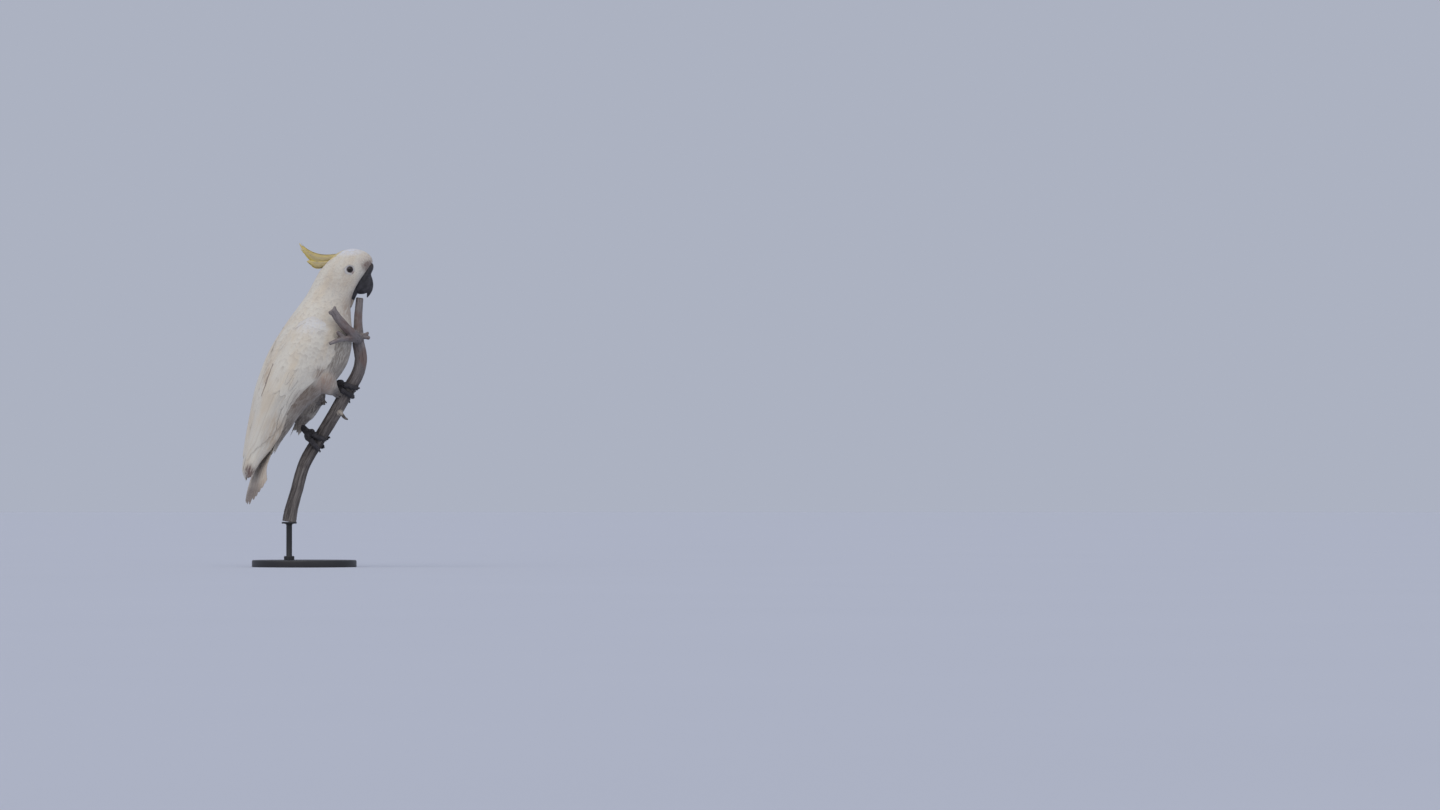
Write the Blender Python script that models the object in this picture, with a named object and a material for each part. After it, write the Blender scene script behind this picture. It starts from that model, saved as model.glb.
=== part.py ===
"""Sulphur-crested cockatoo, life size, gripping a cut length of dead branch on a plain stand.

The bird faces +X and shows its right side to -Y.  Its trunk is turned away from -Y by BODY_YAW
and the neck twists back, so that the head lies in the XZ plane.  The origin is the centre of the
underside of the stand's base.  Lengths are in millimetres here, and mesh_object makes metres.
"""

import math

import bmesh
import bpy
import numpy as np
from mathutils import Vector

MILLIMETRE = 0.001
GAP = 0.3                        # clearance between pieces that touch

# Attitude of the bird
BODY_YAW = math.radians(18)      # how far the trunk is turned away from -Y
YAW_PIVOT_X = 45.0               # the neck stands over this X, and the twist turns about it

# Every section of the body is a closed oval from a point on its back (x, z) to a point on its
# belly (x, z), with a half width and the share of BODY_YAW by which it is turned.
HEAD_SECTIONS = [
    ((117.5, 525.5), (80.0, 474.0), 10.0, 0.0),
    ((115.0, 534.0), (79.0, 465.5), 16.5, 0.0),
    ((109.0, 540.5), (79.0, 460.0), 21.0, 0.0),
    ((99.5, 545.5), (79.0, 455.5), 24.5, 0.0),
    ((83.0, 549.0), (79.0, 451.5), 27.0, 0.0),
    ((64.0, 544.5), (79.0, 447.0), 28.0, 0.0),
    ((45.0, 532.0), (79.0, 443.0), 28.0, 0.02),
]
NECK_SECTIONS = [
    ((27.5, 512.0), (79.5, 437.5), 28.0, 0.1),
    ((15.5, 490.5), (79.5, 431.0), 29.5, 0.28),
    ((3.5, 468.0), (80.0, 421.0), 34.0, 0.5),
]
TRUNK_SECTIONS = [
    ((-11.0, 447.0), (80.0, 408.0), 42.0, 0.72),
    ((-29.0, 420.5), (79.0, 391.0), 51.0, 0.9),
    ((-45.0, 392.0), (76.0, 370.0), 56.0, 1.0),
    ((-59.0, 362.5), (68.0, 346.0), 58.0, 1.0),
    ((-71.0, 330.5), (49.0, 319.0), 57.0, 1.0),
    ((-81.0, 297.0), (22.0, 294.0), 52.0, 1.0),
    ((-87.0, 264.5), (-8.0, 265.0), 44.0, 1.0),
]
RUMP_SECTIONS = [
    ((-88.5, 236.0), (-25.0, 239.0), 33.0, 1.0),
    ((-85.0, 211.0), (-42.0, 214.5), 22.0, 1.0),
]
# Past the rump the folded wings lie on an oval of their own that narrows to the wing tips.
WING_END_SECTIONS = [
    ((-94.5, 226.5), (-22.0, 231.0), 37.0, 1.0),
    ((-99.5, 202.0), (-47.0, 207.0), 31.0, 1.0),
    ((-103.5, 180.0), (-71.0, 187.0), 27.5, 1.0),
    ((-105.5, 164.0), (-85.0, 169.0), 25.0, 1.0),
    ((-102.5, 152.0), (-94.5, 154.0), 23.0, 1.0),
]
BODY_SEGMENTS = 18
SECTION_SQUARENESS = 2.15        # 2 is an ellipse
SECTION_STEPS = 2                # rings made between two neighbouring sections
NECK_START = 6.5                 # section numbers where head, neck and trunk are parted
NECK_END = 10.0
WING_START = 10.15               # section number of the folded wrist

# Folded wings: how far round the body, in degrees from the back, the two long edges lie
WING_BACK_EDGE = [58, 26, 14, 12, 11, 12, 14, 18, 22, 30, 42, 60]
WING_LOWER_EDGE = [72, 98, 107, 106, 101, 92, 90, 84, 82, 82, 84, 84]
WING_OUTER_LIFT = 3.0            # how far the wing stands proud of the trunk
WING_DEPTH = 4.0                 # how far it sinks into it
WING_EDGE_SHARE = 0.3            # share of both left at the long edges
LEFT_WING_EXTRA = 11.0           # the left wing's tip reaches this much lower

# Tail: a flat fan along this line (x, z), with its thickness and half width
TAIL_LINE = [
    (-42.0, 240.0, 24.0, 17.0),
    (-52.0, 218.0, 19.0, 23.0),
    (-62.0, 192.0, 12.0, 28.0),
    (-73.0, 160.0, 7.0, 33.0),
    (-83.0, 130.0, 4.5, 36.0),
    (-91.5, 104.0, 3.0, 36.0),
]
TAIL_LONGEST_SIDE = 16.0         # the longest tail feather lies this far left of the middle
TAIL_ROUNDING = 44.0             # how much shorter the right outermost feather is

# Bill: sections from the ridge (x, z) to the cutting edge (x, z), with half widths
UPPER_BILL_SECTIONS = [
    ((112.5, 527.5), (75.5, 482.0), 8.0),
    ((118.0, 521.5), (79.0, 478.0), 10.5),
    ((118.0, 513.5), (83.0, 474.5), 11.3),
    ((114.5, 505.0), (86.5, 472.5), 11.2),
    ((117.2, 495.0), (91.0, 471.3), 10.7),
    ((118.2, 486.0), (96.0, 470.5), 9.5),
    ((116.7, 477.5), (102.0, 471.0), 7.6),
    ((114.0, 472.0), (106.8, 473.0), 4.6),
    ((111.2, 468.0), (107.0, 468.6), 2.5),
    ((108.0, 464.5), (107.0, 465.0), 0.7),
]
LOWER_BILL_SECTIONS = [
    ((82.0, 450.5), (75.5, 455.0), 5.0),
    ((84.8, 458.5), (75.5, 464.5), 8.0),
    ((88.2, 466.0), (77.5, 474.0), 9.4),
    ((91.2, 471.0), (81.0, 480.0), 8.6),
]
BILL_SEGMENTS = 12

# Eyes
EYE_CENTRE = (77.8, 512.0)       # x, z
EYE_RADIUS = 6.4
EYE_FROM_MIDDLE = 21.2           # the ball's centre, out from the head's middle plane

# Crest: two overlapping blades, each from its upper edge (x, z) to its lower edge, half width
UPPER_CREST_SECTIONS = [
    ((72.0, 542.5), (72.0, 533.0), 3.0),
    ((52.0, 539.5), (52.0, 529.0), 5.0),
    ((36.0, 538.5), (35.5, 524.0), 6.0),
    ((22.0, 540.8), (20.0, 523.5), 5.5),
    ((10.5, 545.0), (8.0, 531.0), 4.2),
    ((1.5, 550.5), (0.0, 540.0), 3.0),
    ((-4.0, 555.5), (-6.5, 546.0), 1.9),
    ((-9.3, 559.8), (-9.8, 557.5), 0.7),
]
LOWER_CREST_SECTIONS = [
    ((56.0, 531.0), (54.0, 524.0), 4.5),
    ((36.0, 530.0), (32.0, 516.8), 6.5),
    ((22.0, 530.0), (19.0, 516.0), 5.2),
    ((12.0, 530.0), (10.0, 521.5), 3.0),
    ((4.0, 528.0), (3.2, 526.6), 0.7),
]
CREST_SEGMENTS = 8

# Legs: thigh centres (x, y, z) with radii, and the feet on the perch
RIGHT_THIGH = [(8.0, -36.0, 347.0, 14.0), (24.0, -40.0, 331.0, 23.0),
               (37.0, -32.5, 316.0, 19.0), (46.0, -22.0, 307.0, 12.0), (51.5, -15.0, 303.0, 7.5)]
LEFT_THIGH = [(0.0, 14.0, 318.0, 20.0), (4.0, 14.0, 295.0, 29.0),
              (0.0, 10.0, 270.0, 21.0), (-5.0, 8.0, 255.0, 12.5), (-8.5, 7.0, 246.0, 7.5)]
RIGHT_FOOT_HEIGHT = 303.0        # height of each palm's grip on the perch
LEFT_FOOT_HEIGHT = 218.0
TARSUS_RADIUS = 5.0
TOE_RADIUS_ROOT = 4.7
TOE_RADIUS_END = 3.4
TOE_SIDES = 7
CLAW_SIDES = 6
PALM_RADII = (7.0, 8.5, 10.5)    # out from the branch, round it, along it
CLAW_LENGTH = 11.5
CLAW_RADIUS = 1.9
CLAW_SEAT = 1.2                  # how far a claw is set into its toe
# Each toe: turns from, to (degrees round the branch from the palm), slide along the branch (mm)
TOES = {
    "inner_front": (18, 138, 3.0, 11.0),
    "outer_front": (18, 144, -3.0, -4.0),
    "inner_back": (-18, -116, 3.0, 5.0),
    "outer_back": (-18, -126, -4.0, -11.0),
}

# Perch: centre line (x, y, z) and radius, from its cut foot to the top of its right prong
PERCH_LINE = [
    (-26.0, 0.0, 78.0, 12.0), (-22.5, 0.0, 98.0, 11.6), (-13.0, 0.0, 133.0, 10.6),
    (-3.5, 0.0, 168.0, 10.7), (6.5, 0.0, 190.5, 11.2), (24.0, 0.0, 218.5, 11.2),
    (46.0, 0.0, 254.5, 11.4), (70.0, 0.0, 296.0, 11.4), (90.0, 0.0, 330.0, 11.1),
    (96.5, 0.0, 352.0, 10.7), (96.0, 0.0, 368.0, 10.8), (92.5, 0.0, 386.0, 10.6),
    (92.5, 0.0, 401.0, 9.3), (92.0, 0.0, 419.0, 7.4), (92.5, 0.0, 437.0, 6.3),
    (95.0, 0.0, 463.5, 5.8),
]
LEFT_PRONG = [(92.0, -5.0, 391.0, 8.6), (86.5, -29.0, 397.0, 8.6), (72.0, -48.0, 410.0, 8.0),
              (58.0, -58.0, 426.0, 7.4), (47.5, -63.0, 441.5, 6.2)]
LEFT_TWIG = [(88.0, -20.0, 390.5, 4.6), (78.0, -41.0, 392.5, 3.8), (63.0, -59.0, 391.0, 2.8),
             (50.0, -69.0, 386.0, 2.3), (41.5, -74.0, 383.5, 1.5)]
TWIG_STUB = [(66.0, -52.0, 391.5, 2.6), (60.0, -58.0, 396.5, 2.4), (55.0, -62.0, 402.0, 1.3)]
RIGHT_TWIG = [(92.0, -2.0, 397.0, 4.6), (103.0, -6.0, 398.5, 3.4), (113.0, -8.0, 393.5, 1.4)]
RIGHT_TWIG_FORK = [(100.0, -5.0, 398.0, 2.8), (106.5, -10.0, 402.0, 2.0), (109.0, -12.0, 405.5, 1.0)]
SPUR = [(52.0, -4.0, 274.0, 4.2), (62.5, -11.0, 265.0, 3.2), (69.0, -13.0, 257.0, 2.6),
        (75.0, -13.0, 254.0, 1.2)]
PERCH_SIDES = 10
TWIG_SIDES = 8

# Stand
BASE_RADIUS = 90.0
BASE_HEIGHT = 12.0
BASE_BEVEL = 2.0
ROD_RADIUS = 5.0
ROD_PLATE_RADIUS = 13.0
ROD_PLATE_HEIGHT = 3.0

COLOURS = {
    "white_feather": ((0.72, 0.70, 0.66), 0.85, 0.0),
    "yellow_feather": ((0.72, 0.60, 0.16), 0.8, 0.0),
    "bill_horn": ((0.05, 0.05, 0.055), 0.45, 0.0),
    "claw_horn": ((0.04, 0.04, 0.045), 0.4, 0.0),
    "foot_skin": ((0.06, 0.055, 0.06), 0.7, 0.0),
    "eye_brown": ((0.02, 0.012, 0.01), 0.08, 0.0),
    "dead_branch": ((0.12, 0.10, 0.095), 0.9, 0.0),
    "stand_paint": ((0.03, 0.03, 0.032), 0.4, 0.0),
}


def material(name):
    """The Principled material of that name, made on first use."""
    if name in bpy.data.materials:
        return bpy.data.materials[name]
    colour, roughness, metallic = COLOURS[name]
    made = bpy.data.materials.new(name)
    made.use_nodes = True
    shader = made.node_tree.nodes["Principled BSDF"]
    shader.inputs["Base Color"].default_value = (*colour, 1.0)
    shader.inputs["Roughness"].default_value = roughness
    shader.inputs["Metallic"].default_value = metallic
    made.diffuse_color = (*colour, 1.0)
    return made


def smooth_rows(rows, positions):
    """Rows of a table read at fractional row numbers, along a Catmull-Rom curve."""
    table = np.array(rows, dtype=float)
    last = len(table) - 1
    result = []
    for position in positions:
        index = min(int(position), last - 1)
        share = position - index
        before = table[max(index - 1, 0)]
        start, end = table[index], table[index + 1]
        after = table[min(index + 2, last)]
        result.append(0.5 * (2 * start + (end - before) * share
                             + (2 * before - 5 * start + 4 * end - after) * share ** 2
                             + (3 * start - before - 3 * end + after) * share ** 3))
    return np.array(result)


def spaced(start, end, count):
    return [start + (end - start) * step / (count - 1) for step in range(count)]


def mesh_object(name, points, faces, slot):
    """A closed smooth-shaded object from points in millimetres.

    Its bent quads are split here, so that a grown copy of it bends in the same places.
    """
    mesh = bpy.data.meshes.new(name)
    mesh.from_pydata([Vector(point) * MILLIMETRE for point in points], [], faces)
    shape = bmesh.new()
    shape.from_mesh(mesh)
    bmesh.ops.recalc_face_normals(shape, faces=shape.faces)
    bmesh.ops.triangulate(shape, faces=shape.faces)
    shape.to_mesh(mesh)
    shape.free()
    mesh.shade_smooth()
    mesh.set_sharp_from_angle(angle=math.radians(50))
    mesh.materials.append(material(slot))
    made = bpy.data.objects.new(name, mesh)
    bpy.context.collection.objects.link(made)
    return made


def loft(name, rings, slot):
    """Skin a row of closed rings with equal point counts, and cap both ends."""
    count = len(rings[0])
    points = [point for ring in rings for point in ring]
    faces = []
    for ring in range(len(rings) - 1):
        low, high = ring * count, (ring + 1) * count
        for step in range(count):
            following = (step + 1) % count
            faces.append((low + step, low + following, high + following, high + step))
    faces.append(tuple(range(count)))
    faces.append(tuple(reversed(range((len(rings) - 1) * count, len(rings) * count))))
    return mesh_object(name, points, faces, slot)


def tube(name, rows, sides, steps, slot, level_start=False):
    """A round bar through the rows (x, y, z, radius) of a table."""
    line = smooth_rows(rows, spaced(0, len(rows) - 1, (len(rows) - 1) * steps + 1))
    centres, radii = line[:, :3], line[:, 3]
    along = np.gradient(centres, axis=0)
    along /= np.linalg.norm(along, axis=1)[:, None]
    if level_start:
        along[0] = (0.0, 0.0, 1.0)
    across = np.cross(along[0], (0.0, 1.0, 0.0))
    rings = []
    for centre, direction, radius in zip(centres, along, radii):
        across = across - direction * across.dot(direction)
        across /= np.linalg.norm(across)
        third = np.cross(direction, across)
        rings.append([centre + radius * (math.cos(turn) * across + math.sin(turn) * third)
                      for turn in spaced(0, 2 * math.pi, sides + 1)[:-1]])
    return loft(name, rings, slot)


def cut_clear(host, piece):
    """Cut a grown copy of piece out of host, so that the two are GAP apart."""
    grown = piece.data.copy()
    shape = bmesh.new()
    shape.from_mesh(grown)
    shape.normal_update()
    moves = [vertex.normal * GAP * MILLIMETRE for vertex in shape.verts]
    for vertex, move in zip(shape.verts, moves):
        vertex.co += move
    shape.to_mesh(grown)
    shape.free()
    cutter = bpy.data.objects.new("cutter_" + piece.name + "_" + host.name, grown)
    bpy.context.collection.objects.link(cutter)
    hide(cutter)
    boolean(host, cutter, "DIFFERENCE")


def hide(guide):
    guide.hide_render = True
    guide.display_type = "WIRE"


def boolean(host, other, operation):
    modifier = host.modifiers.new(operation.lower() + "_" + other.name, "BOOLEAN")
    modifier.operation = operation
    modifier.solver = "EXACT"
    modifier.object = other


def join_in(host, others):
    """Make the closed pieces others one solid with host."""
    for other in others:
        hide(other)
        boolean(host, other, "UNION")


# The body's sections ------------------------------------------------------------------------

def section_rows(sections):
    return [(*back, *belly, width, turn) for back, belly, width, turn in sections]


BODY_ROWS = section_rows(HEAD_SECTIONS + NECK_SECTIONS + TRUNK_SECTIONS + RUMP_SECTIONS)
WING_ROWS = section_rows(HEAD_SECTIONS + NECK_SECTIONS + TRUNK_SECTIONS + WING_END_SECTIONS)


def rounded(value, squareness):
    return math.copysign(abs(value) ** (2 / squareness), value)


def turned(x, side, z, turn):
    """World place of a profile point that lies side millimetres left of the middle plane."""
    yaw = BODY_YAW * turn
    return (x - side * math.sin(yaw),
            (x - YAW_PIVOT_X) * math.tan(yaw) + side * math.cos(yaw),
            z)


def section_point(row, angle, lift=0.0):
    """A point on a section, at an angle from its back toward the left side."""
    back, belly, width, turn = row[0:2], row[2:4], row[4], row[5]
    centre = (back + belly) / 2
    half = np.linalg.norm(back - belly) / 2
    axis = (back - belly) / (2 * half)
    place = centre + axis * (half + lift) * rounded(math.cos(angle), SECTION_SQUARENESS)
    side = (width + lift) * rounded(math.sin(angle), SECTION_SQUARENESS)
    return turned(place[0], side, place[1], turn)


def body_piece(name, start, end, slot):
    count = max(3, round((end - start) * SECTION_STEPS) + 1)
    rows = smooth_rows(BODY_ROWS, spaced(start, end, count))
    angles = spaced(0, 2 * math.pi, BODY_SEGMENTS + 1)[:-1]
    return loft(name, [[section_point(row, angle) for angle in angles] for row in rows], slot)


def flat_section(upper, lower, width, segments):
    """An oval ring in the head's middle plane, from one edge to the other."""
    row = np.array([*upper, *lower, width, 0.0])
    return [section_point(row, angle) for angle in spaced(0, 2 * math.pi, segments + 1)[:-1]]


def plane_loft(name, sections, segments, steps, slot):
    rows = [(*upper, *lower, width) for upper, lower, width in sections]
    fine = smooth_rows(rows, spaced(0, len(rows) - 1, (len(rows) - 1) * steps + 1))
    rings = [flat_section(row[0:2], row[2:4], row[4], segments) for row in fine]
    return loft(name, rings, slot)


# Head ---------------------------------------------------------------------------------------

def build_head():
    head = body_piece("head", 0, NECK_START, "white_feather")
    bill_upper = plane_loft("bill_upper", UPPER_BILL_SECTIONS, BILL_SEGMENTS, 1, "bill_horn")
    bill_lower = plane_loft("bill_lower", LOWER_BILL_SECTIONS, BILL_SEGMENTS, 2, "bill_horn")
    cut_clear(bill_lower, bill_upper)
    cut_clear(head, bill_upper)
    cut_clear(head, bill_lower)
    for name, side in (("eye_left", 1), ("eye_right", -1)):
        bpy.ops.mesh.primitive_uv_sphere_add(segments=12, ring_count=6,
                                             radius=EYE_RADIUS * MILLIMETRE)
        eye = bpy.context.object
        eye.name = eye.data.name = name
        place = Vector((EYE_CENTRE[0], side * EYE_FROM_MIDDLE, EYE_CENTRE[1])) * MILLIMETRE
        for vertex in eye.data.vertices:
            vertex.co += place
        eye.data.shade_smooth()
        eye.data.materials.append(material("eye_brown"))
        cut_clear(head, eye)
    crest = plane_loft("crest", UPPER_CREST_SECTIONS, CREST_SEGMENTS, 1, "yellow_feather")
    lower = plane_loft("crest_lower", LOWER_CREST_SECTIONS, CREST_SEGMENTS, 1, "yellow_feather")
    join_in(crest, [lower])
    cut_clear(crest, head)
    return crest


# Trunk, wings and tail ----------------------------------------------------------------------

def wing(name, side, extra):
    """A folded wing: a thin shell laid round the trunk, from the wrist to the wing tip."""
    last = len(WING_ROWS) - 1
    positions = spaced(WING_START, last, 18)
    rows = smooth_rows(WING_ROWS, positions)
    edges = list(zip(WING_BACK_EDGE, WING_LOWER_EDGE))
    shares = spaced(0, len(edges) - 1, len(positions))
    edge_rows = smooth_rows(edges, shares)
    across = 7
    rings = []
    for number, (row, (back_edge, lower_edge)) in enumerate(zip(rows, edge_rows)):
        from_front = number / (len(rows) - 1)
        end_round = min(1.0, 0.35 + 3.5 * from_front, 0.35 + 5 * (1 - from_front))
        drop = extra * max(0.0, (from_front - 0.6) / 0.4) ** 1.5
        outer, inner = [], []
        for step in range(across):
            share = step / (across - 1)
            angle = side * math.radians(back_edge + (lower_edge - back_edge) * share)
            bulge = WING_EDGE_SHARE + (1 - WING_EDGE_SHARE) * math.sin(math.pi * share) ** 0.6
            full = bulge * end_round
            for points, lift in ((outer, WING_OUTER_LIFT * full), (inner, -WING_DEPTH * full)):
                x, y, z = section_point(row, angle, lift)
                points.append((x, y, z - drop))
        rings.append(outer + inner[::-1])
    return loft(name, rings, "white_feather")


def tail():
    """A flat fan whose end is rounded and longest left of its middle."""
    rows = smooth_rows(TAIL_LINE, spaced(0, len(TAIL_LINE) - 1, 13))
    start, end = np.array(TAIL_LINE[0][:2]), np.array(TAIL_LINE[-1][:2])
    along = (end - start) / np.linalg.norm(end - start)
    normal = np.array((-along[1], along[0]))
    full_width = TAIL_LINE[-1][3]
    rings = []
    for number, row in enumerate(rows):
        spread = (number / (len(rows) - 1)) ** 2
        ring = []
        for angle in spaced(0, 2 * math.pi, 21)[:-1]:
            side = row[3] * rounded(math.sin(angle), 2.6)
            thick = row[2] / 2 * rounded(math.cos(angle), 2.6)
            off = (side - TAIL_LONGEST_SIDE) / (full_width + TAIL_LONGEST_SIDE)
            place = row[:2] - along * TAIL_ROUNDING * spread * off ** 2 + normal * thick
            ring.append(turned(place[0], side, place[1], 1.0))
        rings.append(ring)
    return loft("tail", rings, "white_feather")


def build_trunk(crest):
    rump_end = len(BODY_ROWS) - 1
    step = GAP / 25.0            # in section numbers, as sections are about 25 mm apart
    neck = body_piece("neck", NECK_START + 3 * step, NECK_END - step, "white_feather")
    trunk = body_piece("trunk", NECK_END + step, rump_end, "white_feather")
    cut_clear(crest, neck)
    wings = [wing("wing_right", -1, 0.0), wing("wing_left", 1, LEFT_WING_EXTRA)]
    tail_piece = tail()
    cut_clear(trunk, tail_piece)
    for folded in wings:
        cut_clear(trunk, folded)
        cut_clear(tail_piece, folded)
    return trunk, wings


# Perch --------------------------------------------------------------------------------------

def build_perch():
    perch = tube("perch", PERCH_LINE, PERCH_SIDES, 2, "dead_branch", level_start=True)
    twigs = [
        tube("perch_left_prong", LEFT_PRONG, PERCH_SIDES, 2, "dead_branch"),
        tube("perch_left_twig", LEFT_TWIG, TWIG_SIDES, 1, "dead_branch"),
        tube("perch_twig_stub", TWIG_STUB, TWIG_SIDES, 1, "dead_branch"),
        tube("perch_right_twig", RIGHT_TWIG, TWIG_SIDES, 1, "dead_branch"),
        tube("perch_right_twig_fork", RIGHT_TWIG_FORK, TWIG_SIDES, 1, "dead_branch"),
        tube("perch_spur", SPUR, TWIG_SIDES, 1, "dead_branch"),
    ]
    join_in(perch, twigs)
    return perch


def perch_at_height(z):
    """Centre, direction and radius of the perch at a height below its fork."""
    positions = spaced(0, 12, 241)
    rows = smooth_rows(PERCH_LINE, positions)
    number = int(np.argmin(abs(rows[:, 2] - z)))
    direction = rows[number + 1, :3] - rows[number - 1, :3]
    return rows[number, :3], direction / np.linalg.norm(direction), rows[number, 3]


# Legs and feet ------------------------------------------------------------------------------

def grip_point(height, slide, turn, out):
    """A place round the branch: turn is from its upper left side toward -Y."""
    centre, direction, radius = perch_at_height(height + slide)
    left = np.cross(direction, (0.0, 1.0, 0.0))
    left *= -1 if left[0] > 0 else 1
    near = np.array((0.0, -1.0, 0.0))
    return centre + (radius + out) * (math.cos(turn) * left + math.sin(turn) * near)


def toe_and_claw(side_name, toe_name, height, mirrored):
    start, end, slide_start, slide_end = TOES[toe_name]
    flip = -1 if mirrored else 1
    rows = []
    for number in range(7):
        share = number / 6
        turn = math.radians(start + (end - start) * share) * flip
        slide = slide_start + (slide_end - slide_start) * share
        knuckle = 0.35 * math.cos(share * 6 * math.pi)
        radius = TOE_RADIUS_ROOT + (TOE_RADIUS_END - TOE_RADIUS_ROOT) * share + knuckle
        rows.append((*grip_point(height, slide, turn, radius + GAP), radius))
    toe = tube("toe_" + toe_name + "_" + side_name, rows, TOE_SIDES, 1, "foot_skin")
    curl = perch_at_height(height)[2] + TOE_RADIUS_END
    toe_turn = math.radians(abs(end - start))
    direction = flip * math.copysign(1, end)
    claw_rows = []
    for number in range(5):
        share = number / 4
        further = (CLAW_LENGTH * share - CLAW_SEAT) / curl
        turn = math.radians(end) * flip + direction * further
        slide = slide_end + (slide_end - slide_start) * further / toe_turn
        radius = CLAW_RADIUS * (1 - share) ** 0.8 + 0.35
        arch = 2.2 * math.sin(math.pi * share)
        out = TOE_RADIUS_END * (1 - share) + 0.9 * share + arch
        claw_rows.append((*grip_point(height, slide, turn, out + GAP), radius))
    claw = tube("claw_" + toe_name + "_" + side_name, claw_rows, CLAW_SIDES, 1, "claw_horn")
    return toe, claw


def leg(side_name, thigh_rows, foot_height, mirrored, trunk, wings, perch):
    thigh = tube("thigh_" + side_name, thigh_rows, 14, 2, "white_feather")
    cut_clear(thigh, trunk)
    for folded in wings:
        cut_clear(thigh, folded)
    ankle = np.array(thigh_rows[-1][:3])
    palm_centre = grip_point(foot_height, 0.0, 0.0, PALM_RADII[0] - 1.0)
    bar = [(*(ankle + (palm_centre - ankle) * share), TARSUS_RADIUS + swell)
           for share, swell in ((-0.15, 0.0), (0.5, 0.0), (1.0, 1.5))]
    foot = tube("foot_" + side_name, bar, 10, 2, "foot_skin")
    direction = perch_at_height(foot_height)[1]
    palm_rows = []
    for number in range(7):
        share = number / 6 * 2 - 1
        place = palm_centre + direction * share * PALM_RADII[2]
        palm_rows.append((*place, PALM_RADII[1] * math.sqrt(1.04 - share ** 2)))
    palm = tube("palm_" + side_name, palm_rows, 10, 1, "foot_skin")
    toes, claws = zip(*[toe_and_claw(side_name, name, foot_height, mirrored) for name in TOES])
    join_in(foot, [palm, *toes])
    for claw in claws:
        cut_clear(foot, claw)
    cut_clear(foot, thigh)
    cut_clear(foot, perch)


# Stand --------------------------------------------------------------------------------------

def build_stand():
    foot_x, foot_y, foot_z, _ = PERCH_LINE[0]
    bpy.ops.mesh.primitive_cylinder_add(vertices=32, radius=BASE_RADIUS * MILLIMETRE,
                                        depth=BASE_HEIGHT * MILLIMETRE,
                                        location=(0, 0, BASE_HEIGHT / 2 * MILLIMETRE))
    base = bpy.context.object
    base.name = base.data.name = "stand_base"
    base.data.materials.append(material("stand_paint"))
    bevel = base.modifiers.new("rim", "BEVEL")
    bevel.width = BASE_BEVEL * MILLIMETRE
    bevel.segments = 1
    bevel.limit_method = "ANGLE"
    top = foot_z - GAP
    profile = [(BASE_HEIGHT + GAP, ROD_RADIUS), (top - ROD_PLATE_HEIGHT, ROD_RADIUS),
               (top - ROD_PLATE_HEIGHT, ROD_PLATE_RADIUS), (top, ROD_PLATE_RADIUS)]
    rings = []
    for height, radius in profile:
        rings.append([(foot_x + radius * math.cos(turn), foot_y + radius * math.sin(turn), height)
                      for turn in spaced(0, 2 * math.pi, 25)[:-1]])
    loft("stand_rod", rings, "stand_paint")


def build():
    for old in list(bpy.data.objects):
        bpy.data.objects.remove(old)
    crest = build_head()
    trunk, wings = build_trunk(crest)
    perch = build_perch()
    leg("right", RIGHT_THIGH, RIGHT_FOOT_HEIGHT, False, trunk, wings, perch)
    leg("left", LEFT_THIGH, LEFT_FOOT_HEIGHT, True, trunk, wings, perch)
    build_stand()


build()
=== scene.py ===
import itertools
import math

import bmesh
import bpy
import numpy as np
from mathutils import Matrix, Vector, noise


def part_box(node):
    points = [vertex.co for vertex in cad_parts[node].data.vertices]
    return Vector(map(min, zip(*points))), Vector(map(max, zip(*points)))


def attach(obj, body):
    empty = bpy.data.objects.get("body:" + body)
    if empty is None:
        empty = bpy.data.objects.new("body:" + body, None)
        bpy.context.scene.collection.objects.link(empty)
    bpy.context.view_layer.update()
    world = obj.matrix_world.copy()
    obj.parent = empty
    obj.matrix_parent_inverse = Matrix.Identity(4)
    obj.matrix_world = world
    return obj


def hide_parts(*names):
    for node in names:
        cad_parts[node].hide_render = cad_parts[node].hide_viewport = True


# A sulphur-crested cockatoo, life size, gripping a cut length of dead branch on a plain stand.
# The bird faces +X and shows its right side to -Y.  Tables are in millimetres and meshes in metres.
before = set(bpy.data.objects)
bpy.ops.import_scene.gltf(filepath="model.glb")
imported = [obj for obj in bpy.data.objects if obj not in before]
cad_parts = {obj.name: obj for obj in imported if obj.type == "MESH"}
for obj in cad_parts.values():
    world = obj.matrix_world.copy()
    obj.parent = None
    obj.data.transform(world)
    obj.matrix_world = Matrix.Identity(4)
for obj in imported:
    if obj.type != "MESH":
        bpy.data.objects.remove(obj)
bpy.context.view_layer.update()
MM = 0.001


# Studio -------------------------------------------------------------------------------------
# A wide plain floor under an even grey sky, with one broad soft lamp overhead and a weak one in
# front.  The camera stands ten metres off, close to the floor, and looks past the bird's breast.

CAMERA_DISTANCE = 10.0
CAMERA_HEIGHT = 0.11
VIEW_CENTRE = (0.718, 0.0, 0.280)      # the bird stands left of the middle of the view
CAMERA_LENS = 144.7
FLOOR_RADIUS = 60.0
SKY_COLOUR = (0.413, 0.445, 0.535)
LAMPS = (                              # name, where it comes from, strength, spread, colour
    ("lamp_overhead", (-0.45, -0.75, 1.0), 1.35, 75.0, (1.0, 0.955, 0.885)),
    ("lamp_front", (0.9, -1.0, 0.35), 0.35, 60.0, (1.0, 0.97, 0.93)),
)


def select(*pieces):
    """Selects these pieces and nothing else, the first one active."""
    bpy.ops.object.select_all(action="DESELECT")
    for piece in pieces:
        piece.select_set(True)
        bpy.context.view_layer.objects.active = pieces[0]


def add_object(name, data):
    made = bpy.data.objects.new(name, data)
    bpy.context.scene.collection.objects.link(made)
    return made


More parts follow.
